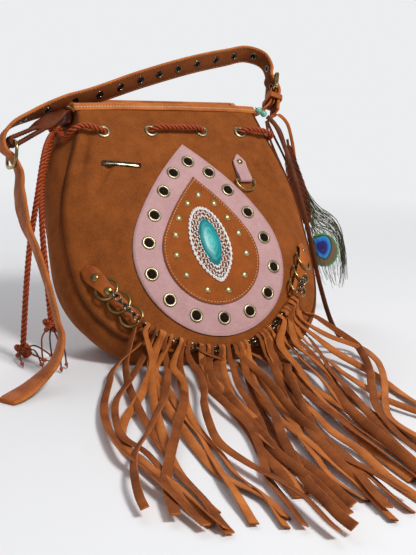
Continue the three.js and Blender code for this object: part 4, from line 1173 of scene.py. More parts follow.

# Fringe: limp suede strips folded over the chain, each with two long tails
# The tails fall from the chain to the floor and run forward over one another; one face of the
# leather is smooth and the other suede, the suede is painted darker as shade, and the cut edges are pale
FRINGE_WIDTH = 8.6
FRINGE_LEATHER = 1.5
FOLD_SHARE = 0.58
FOLD_RADIUS = 4.9
TAIL_STEPS = 110
FRINGE_GROUPS = 10
TAILS = [
    (0.15, 1, [(-128, -77, 19), (-142, -115, 4), (-162, -187, 3), (-169, -218, 3), (-180, -282, 3),
               (-189, -338, 3), (-196, -395, 3), (-201, -431, 3), (-203, -457, 3)]),
    (0.18, -1, [(-103, -91, 16), (-134, -142, 4), (-155, -174, 4), (-187, -217, 4), (-208, -263, 4),
                (-213, -315, 4), (-212, -367, 4), (-210, -422, 4), (-208, -441, 4)]),
    (0.20, 1, [(-146, -85, 8), (-163, -117, 7), (-179, -148, 7), (-192, -176, 7), (-207, -218, 7),
               (-218, -265, 7), (-224, -305, 7), (-222, -335, 7), (-221, -370, 7), (-218, -428, 7),
               (-217, -446, 7)]),
    (0.22, 1, [(-109, -80, 21), (-136, -112, 7), (-154, -138, 6), (-181, -180, 6), (-199, -224, 6),
               (-208, -266, 6), (-202, -299, 6), (-205, -351, 6), (-208, -401, 6), (-207, -432, 6),
               (-205, -454, 6)]),
    (0.24, -1, [(-103, -89, 19), (-136, -168, 3), (-150, -204, 3), (-173, -276, 3), (-188, -332, 3),
                (-195, -389, 3), (-195, -421, 3)]),
    (0.25, -1, [(-103, -90, 14), (-115, -124, 4), (-132, -183, 3), (-141, -225, 3), (-147, -263, 3),
                (-155, -314, 3), (-160, -363, 3), (-149, -418, 3), (-151, -451, 3)]),
    (0.26, 1, [(-85, -90, 10), (-100, -125, 9), (-115, -155, 9), (-130, -183, 9), (-161, -229, 9),
               (-182, -261, 9), (-212, -303, 9), (-232, -345, 9), (-245, -386, 9), (-249, -407, 9)]),
    (0.28, -1, [(-103, -98, 6), (-110, -137, 3), (-118, -175, 3), (-127, -213, 3), (-136, -275, 3),
                (-149, -321, 3), (-165, -383, 3), (-175, -432, 3), (-179, -451, 3)]),
    (0.32, -1, [(-82, -99, 12), (-94, -151, 7), (-115, -202, 2), (-129, -253, 2), (-136, -310, 2),
                (-147, -363, 2), (-148, -409, 2), (-159, -464, 2)]),
    (0.33, 1, [(-71, -92, 13), (-83, -122, 9), (-98, -158, 8), (-113, -192, 8), (-131, -226, 8),
               (-148, -254, 8), (-165, -283, 8), (-191, -327, 8), (-212, -366, 8), (-225, -403, 8),
               (-231, -423, 8)]),
    (0.35, 1, [(-62, -100, 19), (-70, -140, 11), (-90, -191, 9), (-104, -218, 9), (-122, -264, 9),
               (-135, -310, 9), (-134, -355, 9), (-128, -410, 9), (-129, -442, 9), (-132, -473, 9),
               (-133, -494, 9)]),
    (0.40, -1, [(-54, -129, 6), (-59, -173, 3), (-66, -226, 3), (-72, -269, 3), (-97, -324, 3),
                (-109, -379, 3), (-114, -420, 3)]),
    (0.40, 1, [(-5, -109, 9), (-14, -140, 9), (-25, -170, 9), (-40, -222, 9), (-57, -274, 9), (-74, -315, 9),
               (-91, -362, 9), (-105, -402, 9), (-114, -442, 9), (-119, -474, 9), (-119, -494, 9)]),
    (0.41, 1, [(-54, -118, 11), (-70, -158, 5), (-81, -217, 5), (-87, -277, 5), (-103, -327, 5),
               (-127, -383, 5), (-138, -427, 5), (-147, -470, 5)]),
    (0.43, -1, [(-47, -124, 6), (-65, -191, 2), (-78, -249, 2), (-91, -311, 2)]),
    (0.44, 1, [(-48, -118, 10), (-62, -160, 5), (-70, -207, 2), (-79, -248, 2), (-92, -298, 2),
               (-106, -337, 2), (-112, -372, 2), (-121, -421, 2)]),
    (0.48, 1, [(-41, -122, 8), (-66, -207, 3), (-79, -266, 3), (-88, -330, 3), (-90, -373, 3)]),
    (0.49, -1, [(-30, -119, 10), (-45, -159, 6), (-60, -203, 2), (-67, -247, 2), (-86, -287, 2),
                (-93, -335, 2), (-92, -370, 2), (-99, -420, 2)]),
    (0.51, 1, [(-19, -119, 11), (-40, -172, 6), (-55, -226, 6), (-70, -269, 6), (-90, -319, 6),
               (-99, -358, 6), (-104, -423, 6), (-106, -469, 6)]),
    (0.54, 1, [(4, -109, 13), (-4, -163, 8), (-14, -199, 8), (-29, -252, 8), (-35, -285, 8), (-40, -328, 8),
               (-48, -366, 8), (-57, -410, 8), (-69, -452, 8), (-73, -474, 8)]),
    (0.56, 1, [(-26, -172, 2), (-64, -283, 2), (-78, -344, 2), (-85, -401, 2), (-90, -451, 2)]),
    (0.57, -1, [(4, -137, 6), (-7, -179, 3), (-21, -222, 2), (-36, -270, 2), (-54, -317, 2), (-67, -360, 2),
                (-77, -402, 2), (-74, -448, 2)]),
    (0.58, 1, [(33, -96, 9), (28, -142, 4), (-6, -226, 4), (-31, -287, 4), (-50, -347, 4), (-60, -396, 4),
               (-65, -434, 4), (-66, -459, 4)]),
    (0.59, -1, [(4, -118, 10), (-22, -183, 3), (-45, -246, 3), (-52, -285, 3), (-56, -327, 3),
                (-62, -384, 3), (-66, -429, 3), (-76, -486, 3)]),
    (0.65, 1, [(35, -110, 11), (0, -201, 3), (-32, -298, 3), (-42, -370, 3), (-51, -426, 3), (-53, -478, 3)]),
    (0.67, 1, [(53, -108, 11), (22, -172, 9), (3, -215, 9), (-13, -254, 9), (-28, -291, 9), (-49, -351, 9),
               (-49, -395, 9), (-44, -460, 9)]),
    (0.67, -1, [(34, -124, 10), (20, -174, 6), (8, -220, 2), (-6, -265, 2), (-20, -318, 2), (-21, -364, 2),
                (-30, -415, 2), (-33, -464, 2)]),
    (0.68, 1, [(32, -136, 8), (25, -182, 5), (15, -220, 5), (8, -256, 5), (-1, -318, 5), (-4, -365, 5),
               (-10, -427, 5), (-15, -456, 5)]),
    (0.69, -1, [(48, -105, 14), (41, -170, 3), (35, -208, 3), (27, -270, 3), (18, -323, 3), (11, -393, 3),
                (5, -442, 3)]),
    (0.70, 1, [(88, -85, 11), (88, -126, 7), (73, -176, 7), (56, -210, 7), (30, -270, 7), (16, -319, 7),
               (6, -370, 7), (-4, -433, 7), (-7, -468, 7)]),
    (0.71, -1, [(57, -116, 8), (46, -157, 3), (24, -227, 3), (8, -290, 3), (-3, -347, 3), (-11, -394, 3),
                (-15, -430, 3)]),
    (0.78, -1, [(51, -104, 23), (50, -147, 7), (36, -199, 2), (25, -252, 2), (16, -298, 2), (8, -354, 2),
                (2, -400, 2), (-9, -449, 2)]),
    (0.81, -1, [(74, -102, 22), (80, -137, 7), (75, -176, 2), (60, -218, 2), (58, -260, 2), (49, -302, 2),
                (58, -340, 2), (56, -377, 2)]),
    (0.81, -1, [(67, -76, 35), (71, -118, 9), (58, -175, 5), (39, -236, 5), (27, -279, 5), (16, -328, 5),
                (8, -372, 5), (1, -414, 5), (-5, -451, 5)]),
    (0.82, 1, [(76, -84, 34), (87, -122, 9), (77, -167, 2), (65, -216, 2), (58, -261, 2), (51, -306, 2),
               (48, -348, 2), (53, -395, 2)]),
    (0.83, -1, [(85, -92, 32), (109, -128, 3), (98, -164, 3), (88, -216, 3), (84, -263, 3), (102, -326, 3),
                (107, -357, 3)]),
    (0.84, 1, [(81, -74, 48), (102, -87, 24), (98, -126, 10), (85, -157, 8), (71, -194, 8), (60, -225, 8),
               (47, -261, 8), (29, -313, 8), (14, -362, 8), (6, -400, 8), (0, -434, 8), (-5, -471, 8)]),
    (0.86, -1, [(88, -81, 44), (122, -102, 10), (128, -166, 4), (125, -204, 4), (118, -245, 4),
                (112, -289, 4), (106, -336, 4)]),
    (0.88, -1, [(91, -80, 51), (128, -83, 24), (164, -100, 8), (151, -152, 8), (136, -183, 8),
                (119, -211, 8), (101, -237, 8), (81, -264, 8), (52, -312, 8), (39, -387, 8), (35, -421, 8)]),
    (0.90, 1, [(96, -75, 57), (129, -62, 41), (168, -86, 11), (155, -118, 9), (136, -154, 9), (115, -190, 9),
               (93, -223, 9), (77, -249, 9), (59, -278, 9), (40, -325, 9), (25, -369, 9), (17, -406, 9),
               (11, -441, 9)]),
]


def fringe_finish(name, dark, light, roughness):
    look = Finish(name)
    cloud = look.noise(26, 4, 0.6)
    grain = look.noise(700, 3, 0.7)
    tone = look.ramp(cloud * 0.75 + grain * 0.25, (0.36, dark), (0.64, light))
    look.paint(Base_Color=tone, Roughness=roughness, Specular_IOR_Level=0.18,
               Normal=look.bump(grain + cloud * 2, 0.0003, 0.7))
    return look.material


# Painted shade: the back faces use the same leather as the faces, painted darker; they are also rougher, as
# suede
FACE_LOOK = fringe_finish("fringe face", linear(158, 84, 32), linear(204, 120, 54), 0.7)
BACK_SHADE_LOOK = fringe_finish("fringe back painted shade", linear(108, 54, 22), linear(158, 86, 38), 0.9)


def fringe_tail(bm, index, share, upside, spots):
    i = min(max(round(share * CHAIN_STEPS), 1), CHAIN_STEPS - 1)
    knot, run = chain_line[i], chain_runs[i]
    first = point(*spots[0])
    ahead = side_of(Vector((first.x - knot.x, first.y - knot.y, 0)).normalized(), run)
    up = run.cross(ahead).normalized()
    up = up if up.z > 0 else -up
    fold = FOLD_RADIUS

    def at(out, rise):
        return knot + ahead * out + up * rise
    head = [at(-fold, -3), at(-fold, 0), at(-0.55 * fold, 0.87 * fold), at(0.5 * fold, 0.87 * fold),
            at(fold, 0), at(fold + 0.5, -3.5)]
    points = head + [point(*p) for p in spots]
    line = route_through(points, TAIL_STEPS)
    total = length_of(line)
    runs = runs_of(line)
    rng = random.Random(100 + index)
    phase = [rng.uniform(0, 6.28) for _ in range(4)]
    lean_base = rng.uniform(-0.25, 0.25)
    widths, moved = [], []
    for k, (p, r) in enumerate(zip(line, runs)):
        d = total * k / TAIL_STEPS
        free = smooth((d - 22) / 60)
        level = Vector((-r.y, r.x, 0)).normalized()
        level = level if level.dot(run) > 0 else -level
        bank = free * (lean_base + 0.5 * math.sin(d / 90 + phase[0]))
        over = r.cross(level).normalized()
        over = over if over.z > 0 else -over
        flat = (run.lerp(level, smooth((d - 6) / 22))).normalized()
        flat = side_of(flat, r)
        width = side_of(flat * math.cos(bank) + over * math.sin(bank), r)
        wave = free * smooth((total - d) / 60) * (2.5 + 2.5 * math.sin(d / 52 + phase[2]))
        lift = max(abs(width.z) * FRINGE_WIDTH / 2 + 0.9, 0.9)
        high = max(p.z + (wave if free > 0.5 else wave * free * 2), lift)
        moved.append(Vector((p.x, p.y, mix(p.z, high, smooth((d - 14) / 30)))))
        widths.append(width)
    parts = (0, 1, 2) if upside > 0 else (2, 1, 0)
    full = FRINGE_WIDTH * rng.uniform(0.85, 1.08)
    ribbon(bm, moved, widths, lambda v: full * mix(FOLD_SHARE, 1, smooth((v * total - 14) / 40)),
           FRINGE_LEATHER, 0.2, parts)


for group in range(FRINGE_GROUPS):
    bm = bmesh.new()
    start, end = (round(g * len(TAILS) / FRINGE_GROUPS) for g in (group, group + 1))
    for index in range(start, end):
        fringe_tail(bm, index, *TAILS[index])
    keep(f"fringe strips {group + 1}", bm, [FACE_LOOK, EDGE_LOOK, BACK_SHADE_LOOK],
         stands_for=[f"fringe_strip_{group + 1}"])

# Strap: two layers of leather sewn along both edges, with a row of brass eyelets for the buckle
# It arches over the rim from the right buckle to the oval ring at the left, and its tail falls to the floor
# The strap's underside is suede, painted darker than its top face: painted shade under the arch
STRAP_UNDERSIDE_SHADE_LOOK = suede("strap underside", linear(92, 44, 18), linear(140, 74, 32), 0.0002)
TAN_THREAD = thread("tan thread", linear(206, 150, 96))

STRAP_WIDTH, STRAP_THICKNESS = 25, 4
ARCH_SIDE = point(0, 0.788, -0.616)
STRAP_RUN = point(0.372, 0.577, 0.726).normalized()
STRAP_OUT = ARCH_SIDE.cross(STRAP_RUN).normalized()
HEEL = point(174, 154, 302)
BUCKLE_LAYER, UNDER_BAR = 7.3, -4.8


def buckle_spot(run, out, across=0):
    return HEEL + STRAP_RUN * run + STRAP_OUT * out + ARCH_SIDE * across


strap_route = [
    buckle_spot(-34, BUCKLE_LAYER), buckle_spot(-16, BUCKLE_LAYER), buckle_spot(-5, BUCKLE_LAYER),
    buckle_spot(0, BUCKLE_LAYER), buckle_spot(6, BUCKLE_LAYER - 1.5),
    buckle_spot(15, 0), buckle_spot(24, UNDER_BAR - 1), buckle_spot(37, UNDER_BAR - 1),
] + [point(*p) for p in (
    (181, 194, 346), (161, 205, 353), (124, 199, 347), (65, 187, 335), (-13, 173, 314), (-85, 157, 292),
    (-129, 144, 282), (-173, 132, 268), (-200, 120, 257), (-214, 107, 243), (-214, 100, 231),
    (-205, 97, 222), (-199, 90, 206), (-204, 70, 184), (-209, 40, 166), (-210, 18, 150), (-205, 0, 128),
    (-199, -25, 91), (-196, -45, 60), (-197, -60, 44), (-210, -78, 25), (-240, -99, 9), (-258, -111, 4.5),
    (-274, -122, 2.6))]
strap_turns = [point(*p) for p in (
    (0, 0.788, -0.616), (0.04, 0.6, -0.8), (0.08, 0.35, -0.94), (0.1, 0.3, -0.95), (0.1, 0.35, -0.94),
    (0.08, 0.5, -0.86), (0.02, 0.92, -0.4), (0, 1, -0.1), (0, 1, 0), (0.1, 1, 0), (0.2, 1, 0),
    (-0.57, 0.82, 0))]
STRAP_STEPS = 420
strap_line = route_through(strap_route, STRAP_STEPS)
strap_runs = runs_of(strap_line)
strap_length = length_of(strap_line)
# The first stretch lies flat under the keeper loop, and the twist starts after it
FLAT_LENGTH, EASE_LENGTH = 40, 50
strap_widths = []
for i in range(STRAP_STEPS + 1):
    free = min(max((i / STRAP_STEPS * strap_length - FLAT_LENGTH) / EASE_LENGTH, 0), 1)
    strap_widths.append(side_of(ARCH_SIDE.lerp(curve_point(strap_turns, i / STRAP_STEPS), free),
                                strap_runs[i]))


def on_strap(along, across, out):
    """A spot on the strap a length in millimetres from its buckle end, with the outward direction there."""
    i = min(max(round(along / strap_length * STRAP_STEPS), 0), STRAP_STEPS)
    face = strap_widths[i].cross(strap_runs[i])
    return strap_line[i] + strap_widths[i] * across + face * out, face, strap_runs[i]


def strap_width(v):
    return STRAP_WIDTH if v < 0.985 else STRAP_WIDTH - 5 * ((v - 0.985) / 0.015) ** 2


bm = bmesh.new()
ribbon(bm, strap_line, strap_widths, strap_width, STRAP_THICKNESS, 0.3, (0, 1, 2))
keep("strap", bm, [STRAP_LOOK, BINDING_LOOK, STRAP_UNDERSIDE_SHADE_LOOK], stands_for=["strap"])

STITCH_PITCH, STITCH_ACROSS, STITCH_OUT = 4, 10.3, 2.05
bm = bmesh.new()
for k in range(int((strap_length - 2 * STITCH_PITCH) / STITCH_PITCH)):
    for across in (-STITCH_ACROSS, STITCH_ACROSS):
        for out in (STITCH_OUT, -STITCH_OUT):
            spot, face, run = on_strap(STITCH_PITCH + STITCH_PITCH * k, across, out)
            stitch(bm, spot, run, face, (2.6, 0.8, 0.6))
keep("strap stitches", bm, [TAN_THREAD])

STRAP_EYELETS = [47, 80, 113, 146, 179, 211, 243, 274, 305, 337, 370, 410, 450, 488]
bm = bmesh.new()
for along in STRAP_EYELETS:
    for turn in (1, -1):
        spot, face, run = on_strap(along, 0, 2 * turn)
        turned(bm, [(3.1, -0.5), (5.3, 0), (5.4, 0.4), (4.9, 0.9), (4, 0.9), (3.2, 0.4), (3.1, -0.5)], spot,
               face * turn, 20)
        turned(bm, [(0.1, 0.15), (3.2, 0.15), (3.2, -0.2), (0.1, -0.2)], spot, face * turn, 10, 1)
keep("strap eyelets", bm, [GUN_LOOK, SHADOW_LOOK])

# Right buckle: a square brass frame on a folded leather anchor sewn to the gusset
# The prong pivots on the frame's heel bar and points through the strap; the keeper loop slides behind it
FRAME_HALF, FRAME_LENGTH = 16.5, 24


def square_loop(angle):
    return (max(-1, min(1, 1.35 * math.cos(angle))) * FRAME_HALF,
            FRAME_LENGTH / 2 * (1 + max(-1, min(1, 1.35 * math.sin(angle)))))


def softened(outline, steps):
    """The same outline with its corners rounded a little."""
    spots = [Vector(outline(2 * math.pi * i / steps)) for i in range(steps)]
    for _ in range(2):
        spots = [(spots[i - 1] + 2 * spots[i] + spots[(i + 1) % steps]) / 4 for i in range(steps)]
    return lambda angle: tuple(spots[round(angle / (2 * math.pi) * steps) % steps])


bm = bmesh.new()
loop_wire(bm, softened(square_loop, 80), 4.6, 80, HEEL, ARCH_SIDE, STRAP_RUN, 12)
keep("buckle frame", bm, [BRASS_LOOK], stands_for=["buckle_frame"])

bm = bmesh.new()
loop_wire(bm, lambda a: (math.cos(a) * 3.5, math.sin(a) * 3.5), 2.2, 28, HEEL, STRAP_RUN, STRAP_OUT)
tube(bm, route_through([buckle_spot(2.4, 2.4), buckle_spot(8, 4.2), buckle_spot(18, 4.4),
                        buckle_spot(29, 3.8)], 24), 1.5, 12)
keep("buckle prong", bm, [BRASS_LOOK], body="prong", stands_for=["buckle_prong"])

TAB_WIDTH = 18
TAB_SEAT = [(296, 4.2), (306, 4.6), (316, 9)]
TAB_TURN_LENGTH = 32
ANCHOR_STEPS = 70
GATHER = (on_gusset(seam_share(True, 306), 0.6) - on_gusset(seam_share(True, 306), 0.4)).normalized()
ANCHOR_FOLD = 3.5


def edge_stitched(name, line, widths, width, thickness, node, look):
    bm = bmesh.new()
    ribbon(bm, line, widths, width, thickness, 0.4, (0, 0, 0))
    runs = runs_of(line)
    for i in range(2, len(line) - 2, 2):
        side = side_of(widths[i], runs[i])
        face = side.cross(runs[i])
        for edge in (-1, 1):
            for out in (-1, 1):
                stitch(bm, line[i] + side * edge * (width / 2 - 2.2) + face * out * (thickness / 2 + 0.05),
                       runs[i], face * out, (2.0, 0.7, 0.5))
    keep(name, bm, [look], stands_for=[node])


anchor_route = [on_gusset(seam_share(True, s), 0.5, h) for s, h in TAB_SEAT] + [point(148, 139, 277)]
anchor_route += [buckle_spot(-24, -ANCHOR_FOLD), buckle_spot(-8, -ANCHOR_FOLD), buckle_spot(0, -ANCHOR_FOLD)]
for i in range(1, 5):
    bend = math.pi * i / 5
    anchor_route.append(buckle_spot(ANCHOR_FOLD * math.sin(bend), -ANCHOR_FOLD * math.cos(bend)))
anchor_route += [buckle_spot(0, ANCHOR_FOLD), buckle_spot(-5, ANCHOR_FOLD - 0.4),
                 buckle_spot(-22, ANCHOR_FOLD - 1.8)]
anchor_line = route_through(anchor_route, ANCHOR_STEPS)
anchor_sides = []
for i in range(ANCHOR_STEPS + 1):
    run = length_of(anchor_line[:i + 1])
    anchor_sides.append(ARCH_SIDE if run > TAB_TURN_LENGTH else GATHER.lerp(ARCH_SIDE, run / TAB_TURN_LENGTH))
edge_stitched("right anchor tab", anchor_line, anchor_sides, TAB_WIDTH, 2, "right_anchor_tab", STRAP_LOOK)


def keeper(bm):
    inside = 0.5 + 0.9
    top, low = BUCKLE_LAYER + STRAP_THICKNESS / 2 + inside, -ANCHOR_FOLD - 1 - inside
    half = STRAP_WIDTH / 2 + inside
    corner = 1.6
    outline = []
    for cx, cy, start in ((half - corner, top - corner, 0), (-half + corner, top - corner, 90),
                          (-half + corner, low + corner, 180), (half - corner, low + corner, 270)):
        for step in range(5):
            a = math.radians(start + 22.5 * step)
            outline.append((cx + corner * math.cos(a), cy + corner * math.sin(a)))
    ring = [buckle_spot(-14, out, across) for across, out in outline]
    runs = runs_of(ring, closed=True)
    section = [(-4, -0.6), (-4, 0.6), (-3.5, 0.9), (3.5, 0.9), (4, 0.6), (4, -0.6), (3.5, -0.9), (-3.5, -0.9)]

    def place(u, v):
        i = round(v * len(ring)) % len(ring)
        along, out = section[round(u * 8) % 8]
        return ring[i] + STRAP_RUN * along + runs[i].cross(STRAP_RUN) * out
    wrap(bm, 8, len(ring), place)


bm = bmesh.new()
keeper(bm)
bmesh.ops.recalc_face_normals(bm, faces=bm.faces)
keep("keeper loop", bm, [STRAP_LOOK], body="keeper", stands_for=["keeper_loop"])

# Left side: the oval brass ring that the strap passes through
# A dark leather tab is sewn to the gusset and folded round the ring's upper side
DARK_LOOK = leather("dark leather", linear(72, 32, 14), linear(116, 56, 26), 0.5)

RING_SPOT = point(-205, 97, 225)
RING_UP = point(0.12, 0.2, 1).normalized()
RING_ACROSS = point(0, 1, -0.2).normalized()


def oval_loop(angle):
    c, s = math.cos(angle), math.sin(angle)
    return (math.copysign(abs(c) ** 0.6, c) * 19.25, math.copysign(abs(s) ** 0.6, s) * 15.25)


bm = bmesh.new()
loop_wire(bm, softened(oval_loop, 96), 4, 96, RING_SPOT, RING_ACROSS, RING_UP, 12)
keep("oval ring", bm, [BRASS_LOOK], stands_for=["oval_ring"])

ring_bar = RING_SPOT + RING_UP * 15.25
side_fold = 1.75 + 0.4 + 2.5
side_seat = [on_gusset(seam_share(False, s), 0.5, h) for s, h in TAB_SEAT]
side_run = (side_seat[1] - ring_bar).normalized()
side_up = RING_ACROSS.cross(side_run).normalized()
side_up = side_up if side_up.z > 0 else -side_up
side_route = side_seat + [ring_bar + side_run * r + side_up * side_fold for r in (54, 30, 8, 0)]
for i in range(1, 5):
    bend = math.pi * i / 5
    back, rise = side_fold * math.sin(bend), side_fold * math.cos(bend)
    side_route.append(ring_bar - side_run * back + side_up * rise)
side_route += [ring_bar - side_up * side_fold, ring_bar + side_run * 8 - side_up * (side_fold - 0.4),
               ring_bar + side_run * 28 - side_up * (side_fold - 2.4),
               ring_bar + side_run * 44 + side_up * (side_fold - 5.4)]
SIDE_STEPS = 80
side_line = route_through(side_route, SIDE_STEPS)
chosen_turns = [GATHER] * 3
chosen_turns += [point(0, 0.8, 0.6), point(0.1, 0.62, 0.78), point(0.06, 0.86, 0.5)]
chosen_turns += [RING_ACROSS] * 8
last_turn = len(chosen_turns) - 1
side_turns = []
for i in range(SIDE_STEPS + 1):
    spot = i / SIDE_STEPS * last_turn
    before, after = chosen_turns[min(int(spot), last_turn)], chosen_turns[min(int(spot) + 1, last_turn)]
    side_turns.append(before.lerp(after, spot % 1))
edge_stitched("left side tab", side_line, side_turns, TAB_WIDTH, 5, "left_side_tab", DARK_LOOK)

# Charm: two turquoise-green beads on a thin cord at the right of the rim
# Below them hang a leather thong, a dark leather leaf with cut barbs and one peacock feather
CHARM_START = point(125.3, 111.8, 284.2)
CHARM_RUN = point(0.72, -0.42, -0.55).normalized()


def along_charm(run):
    return CHARM_START + CHARM_RUN * run


def glaze():
    look = Finish("glazed bead")
    cloud = look.noise(300, 4)
    tone = look.ramp(cloud, (0.35, linear(64, 168, 140)), (0.65, linear(140, 214, 186)))
    look.paint(Base_Color=tone, Roughness=0.2, Coat_Weight=0.4, Normal=look.bump(cloud, 0.0002, 0.4))
    return look.material


BEAD_LOOK = glaze()
BEAD_PROFILE = [(0.9, -3.8), (2.2, -3.6), (3.4, -2.7), (4.1, -1.3), (4.2, 0), (4.1, 1.3), (3.4, 2.7),
                (2.2, 3.6), (0.9, 3.8), (0.9, -3.8)]
for i, run in enumerate((6.5, 14.36)):
    bm = bmesh.new()
    turned(bm, BEAD_PROFILE, along_charm(run), CHARM_RUN, 28)
    keep(f"bead {i + 1}", bm, [BEAD_LOOK], stands_for=[f"bead_{i + 1}"])

bm = bmesh.new()
tube(bm, route_through([along_charm(t * 19.36) for t in (0, 0.3, 0.7, 1)], 16), 0.7, 8)
keep("charm cord", bm, [SILK_LOOK], stands_for=["charm_cord"])

FACING = point(0.88, -0.46, 0).normalized()
THONG_STEPS = 70
thong_line = route_through([along_charm(19.96)] + [point(*p) for p in (
    (149, 96, 262), (158, 82, 232), (166, 60, 185), (172, 40, 135), (175, 5, 62), (180, -18, 20),
    (186, -30, 3))], THONG_STEPS)
thong_turns = [FACING, FACING, point(0.5, -0.8, 0.2), point(0.6, -0.8, 0)]
thong_widths = [curve_point(thong_turns, i / THONG_STEPS) for i in range(THONG_STEPS + 1)]
bm = bmesh.new()
ribbon(bm, thong_line, thong_widths, 6, 1.6, 0.3)
keep("charm thong", bm, [DARK_LOOK], stands_for=["charm_thong"])

TAN_THONG = [(142, 104, 270), (152, 98, 276), (162, 91, 267), (171, 89, 243), (177, 89, 218), (180, 87, 195)]
DARK_THONGS = [[(140, 104, 268), (147, 99, 251), (158, 93, 229), (168, 88, 207)],
               [(139, 104, 267), (141, 98, 248), (149, 92, 226), (160, 86, 202)],
               [(143, 104, 271), (157, 100, 258), (167, 96, 233), (174, 92, 206)]]
bm = bmesh.new()
tan_line = route_through([point(*p) for p in TAN_THONG], 40)
ribbon(bm, tan_line, [FACING] * len(tan_line), 4.4, 1.6, 0.3)
keep("tan thong", bm, [STRAP_LOOK])
bm = bmesh.new()
for spots in DARK_THONGS:
    line = route_through([point(*p) for p in spots], 30)
    ribbon(bm, line, [FACING] * len(line), lambda v: mix(3.4, 2.4, v), 1.4, 0.3)
keep("dark thongs", bm, [DARK_LOOK])

LEAF_ROUTE = [point(161, 84.4, 245), point(170, 84.5, 212), point(182, 80, 172), point(195, 76, 132)]
LEAF_STEPS = 48
leaf_line = route_through(LEAF_ROUTE, LEAF_STEPS)
leaf_runs = runs_of(leaf_line)
bm = bmesh.new()
ribbon(bm, leaf_line, [FACING] * (LEAF_STEPS + 1), lambda v: mix(3.4, 1.6, v), 1.8, 0.3)
for i in range(3, LEAF_STEPS - 1):
    share = i / LEAF_STEPS
    reach = 5 + 17 * math.sin(math.pi * min(share * 1.05, 1)) ** 0.7
    for turn in (-1, 1):
        run = leaf_runs[i]
        side = side_of(FACING, run) * turn
        tip = leaf_line[i] + side * reach * 0.52 + run * reach * 0.85 + point(0, 0.6 * math.sin(i * 1.7), 0)
        barb = route_through([leaf_line[i], leaf_line[i].lerp(tip, 0.5) + side * 0.8, tip], 5)
        ribbon(bm, barb, [run] * 6, lambda v: mix(2.3, 0.9, v), 1.1, 0.2)
keep("leather leaf", bm, [DARK_LOOK], body="leaf", stands_for=["leather_leaf"])

FEATHER_ROUTE = [point(151.4, 96.5, 258), point(178, 100, 218), point(204, 98, 168), point(226, 93, 112),
                 point(238, 90, 84), point(250, 86, 50)]
EYE_SPOT = point(233, 91, 93)
EYE_THICKNESS = 0.5


def barb_finish():
    look = Finish("peacock barbs")
    where = look.node("SeparateXYZ", Vector=look.place, output="Z")
    cloud = look.noise(220, 3)
    tone = look.ramp(cloud * 0.7 + where * 1.2, (0.3, linear(46, 48, 28)), (0.5, linear(74, 78, 44)),
                     (0.75, linear(126, 114, 74)))
    look.paint(Base_Color=tone, Roughness=0.4, Specular_IOR_Level=0.5)
    return look.material


def eye_finish():
    look = Finish("peacock eye")
    turn = look.node("SeparateXYZ", Vector=look.uv, output="X") * (2 * math.pi)
    out = look.node("SeparateXYZ", Vector=look.uv, output="Y")
    across, down = turn.maths("SINE") * out, turn.maths("COSINE") * out + 0.2
    drop = down - across.maths("ABSOLUTE") * -0.35 - 0.06
    heart = (across * across * 1.1 + drop * drop) ** 0.5
    rim = out.maths("GREATER_THAN", 0.9)
    fibre = look.noise(700, 2) * 0.03
    tone = look.ramp(heart * 0.5 * (rim * -1 + 1) + out * rim + fibre, (0.02, linear(30, 18, 92)),
                     (0.19, linear(30, 30, 128)), (0.22, linear(16, 104, 206)),
                     (0.31, linear(30, 158, 222)), (0.345, linear(58, 46, 34)), (0.42, linear(118, 98, 72)),
                     (0.86, linear(104, 88, 60)), (0.92, linear(60, 136, 60)), (0.97, linear(64, 164, 84)),
                     (1.0, linear(100, 130, 60)))
    look.paint(Base_Color=tone, Roughness=0.35, Specular_IOR_Level=0.5, Normal=look.bump(fibre, 0.003, 0.4))
    return look.material


FEATHER_STEPS = 90
EYE_STEP = 60
feather_line = route_through(FEATHER_ROUTE, FEATHER_STEPS)
feather_runs = runs_of(feather_line)
feather_face = side_of(FACING, feather_runs[EYE_STEP]).cross(feather_runs[EYE_STEP])
feather_face = feather_face if feather_face.y < 0 else -feather_face
bm = bmesh.new()
tube(bm, feather_line, lambda v: mix(1.0, 0.35, v), 8)
keep("feather quill", bm, [thread("quill", linear(206, 196, 160))], body="feather")

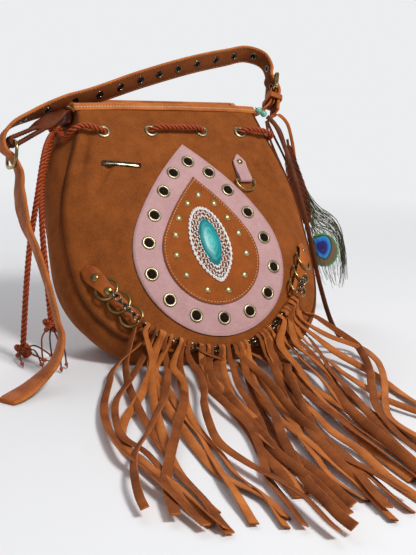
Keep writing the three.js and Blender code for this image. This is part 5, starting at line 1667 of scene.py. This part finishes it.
# The barbs lie between three lines: the outer sweep, the line beside the eye and the near edge
OUTER_BARB = [point(*p) for p in ((203, 98, 166), (230, 96, 150), (253, 93, 133), (266, 91, 107),
                                  (272, 88, 78), (273, 86, 44))]
EYE_BARB = [point(*p) for p in ((209, 98, 131), (225, 96, 126), (251, 93, 113), (262, 91, 88), (264, 88, 62),
                                (262, 86, 36))]
NEAR_BARB = [point(*p) for p in ((202, 98, 155), (206, 96, 123), (211, 93, 93), (218, 91, 68), (230, 88, 48),
                                 (244, 86, 35))]
BARB_ROWS = [
    ((OUTER_BARB, EYE_BARB), 34, 0.3),
    ((EYE_BARB, NEAR_BARB), 20, 0.42),
    ((OUTER_BARB, NEAR_BARB), 14, 0.36),
]
bm = bmesh.new()
rng = random.Random(5)
for lines, count, start in BARB_ROWS:
    for i in range(count):
        share = (i + rng.uniform(-0.3, 0.3)) / (count - 1)
        at = round(mix(start, 0.66, min(max(share, 0), 1)) * FEATHER_STEPS)
        spots = [feather_line[at]]
        end = rng.uniform(0.72, 1.0)
        for k in range(1, 7):
            t = k / 6 * end
            spots.append(curve_point(lines[0], t).lerp(curve_point(lines[1], t), share) + point(
                rng.uniform(-1, 1), rng.uniform(-3, 3), rng.uniform(-1, 1)))
        spots = [spots[0]] + spots[2:] if (spots[1] - spots[0]).length < 12 else spots
        tube(bm, route_through(spots, 16), lambda v: mix(0.5, 0.22, v), 4, round_ends=False)
keep("peacock feather", bm, [barb_finish()], body="feather", stands_for=["peacock_feather"])

eye_run = feather_runs[EYE_STEP]
eye_side = side_of(FACING, eye_run)
bm = bmesh.new()


def eye_place(u, v):
    a = 2 * math.pi * u
    r = max(v, 0.01)
    frill = 1 + 0.025 * math.sin(a * 24) * v ** 3
    return (EYE_SPOT + eye_side * (math.sin(a) * 20.5 * r * frill)
            + eye_run * (math.cos(a) * 24.5 * r * frill)
            + feather_face * (1.6 + 1.2 * (1 - v * v)))


wrap(bm, 72, 20, eye_place)
keep("feather eye", bm, [eye_finish()], body="feather", modifiers=[thick(EYE_THICKNESS)])
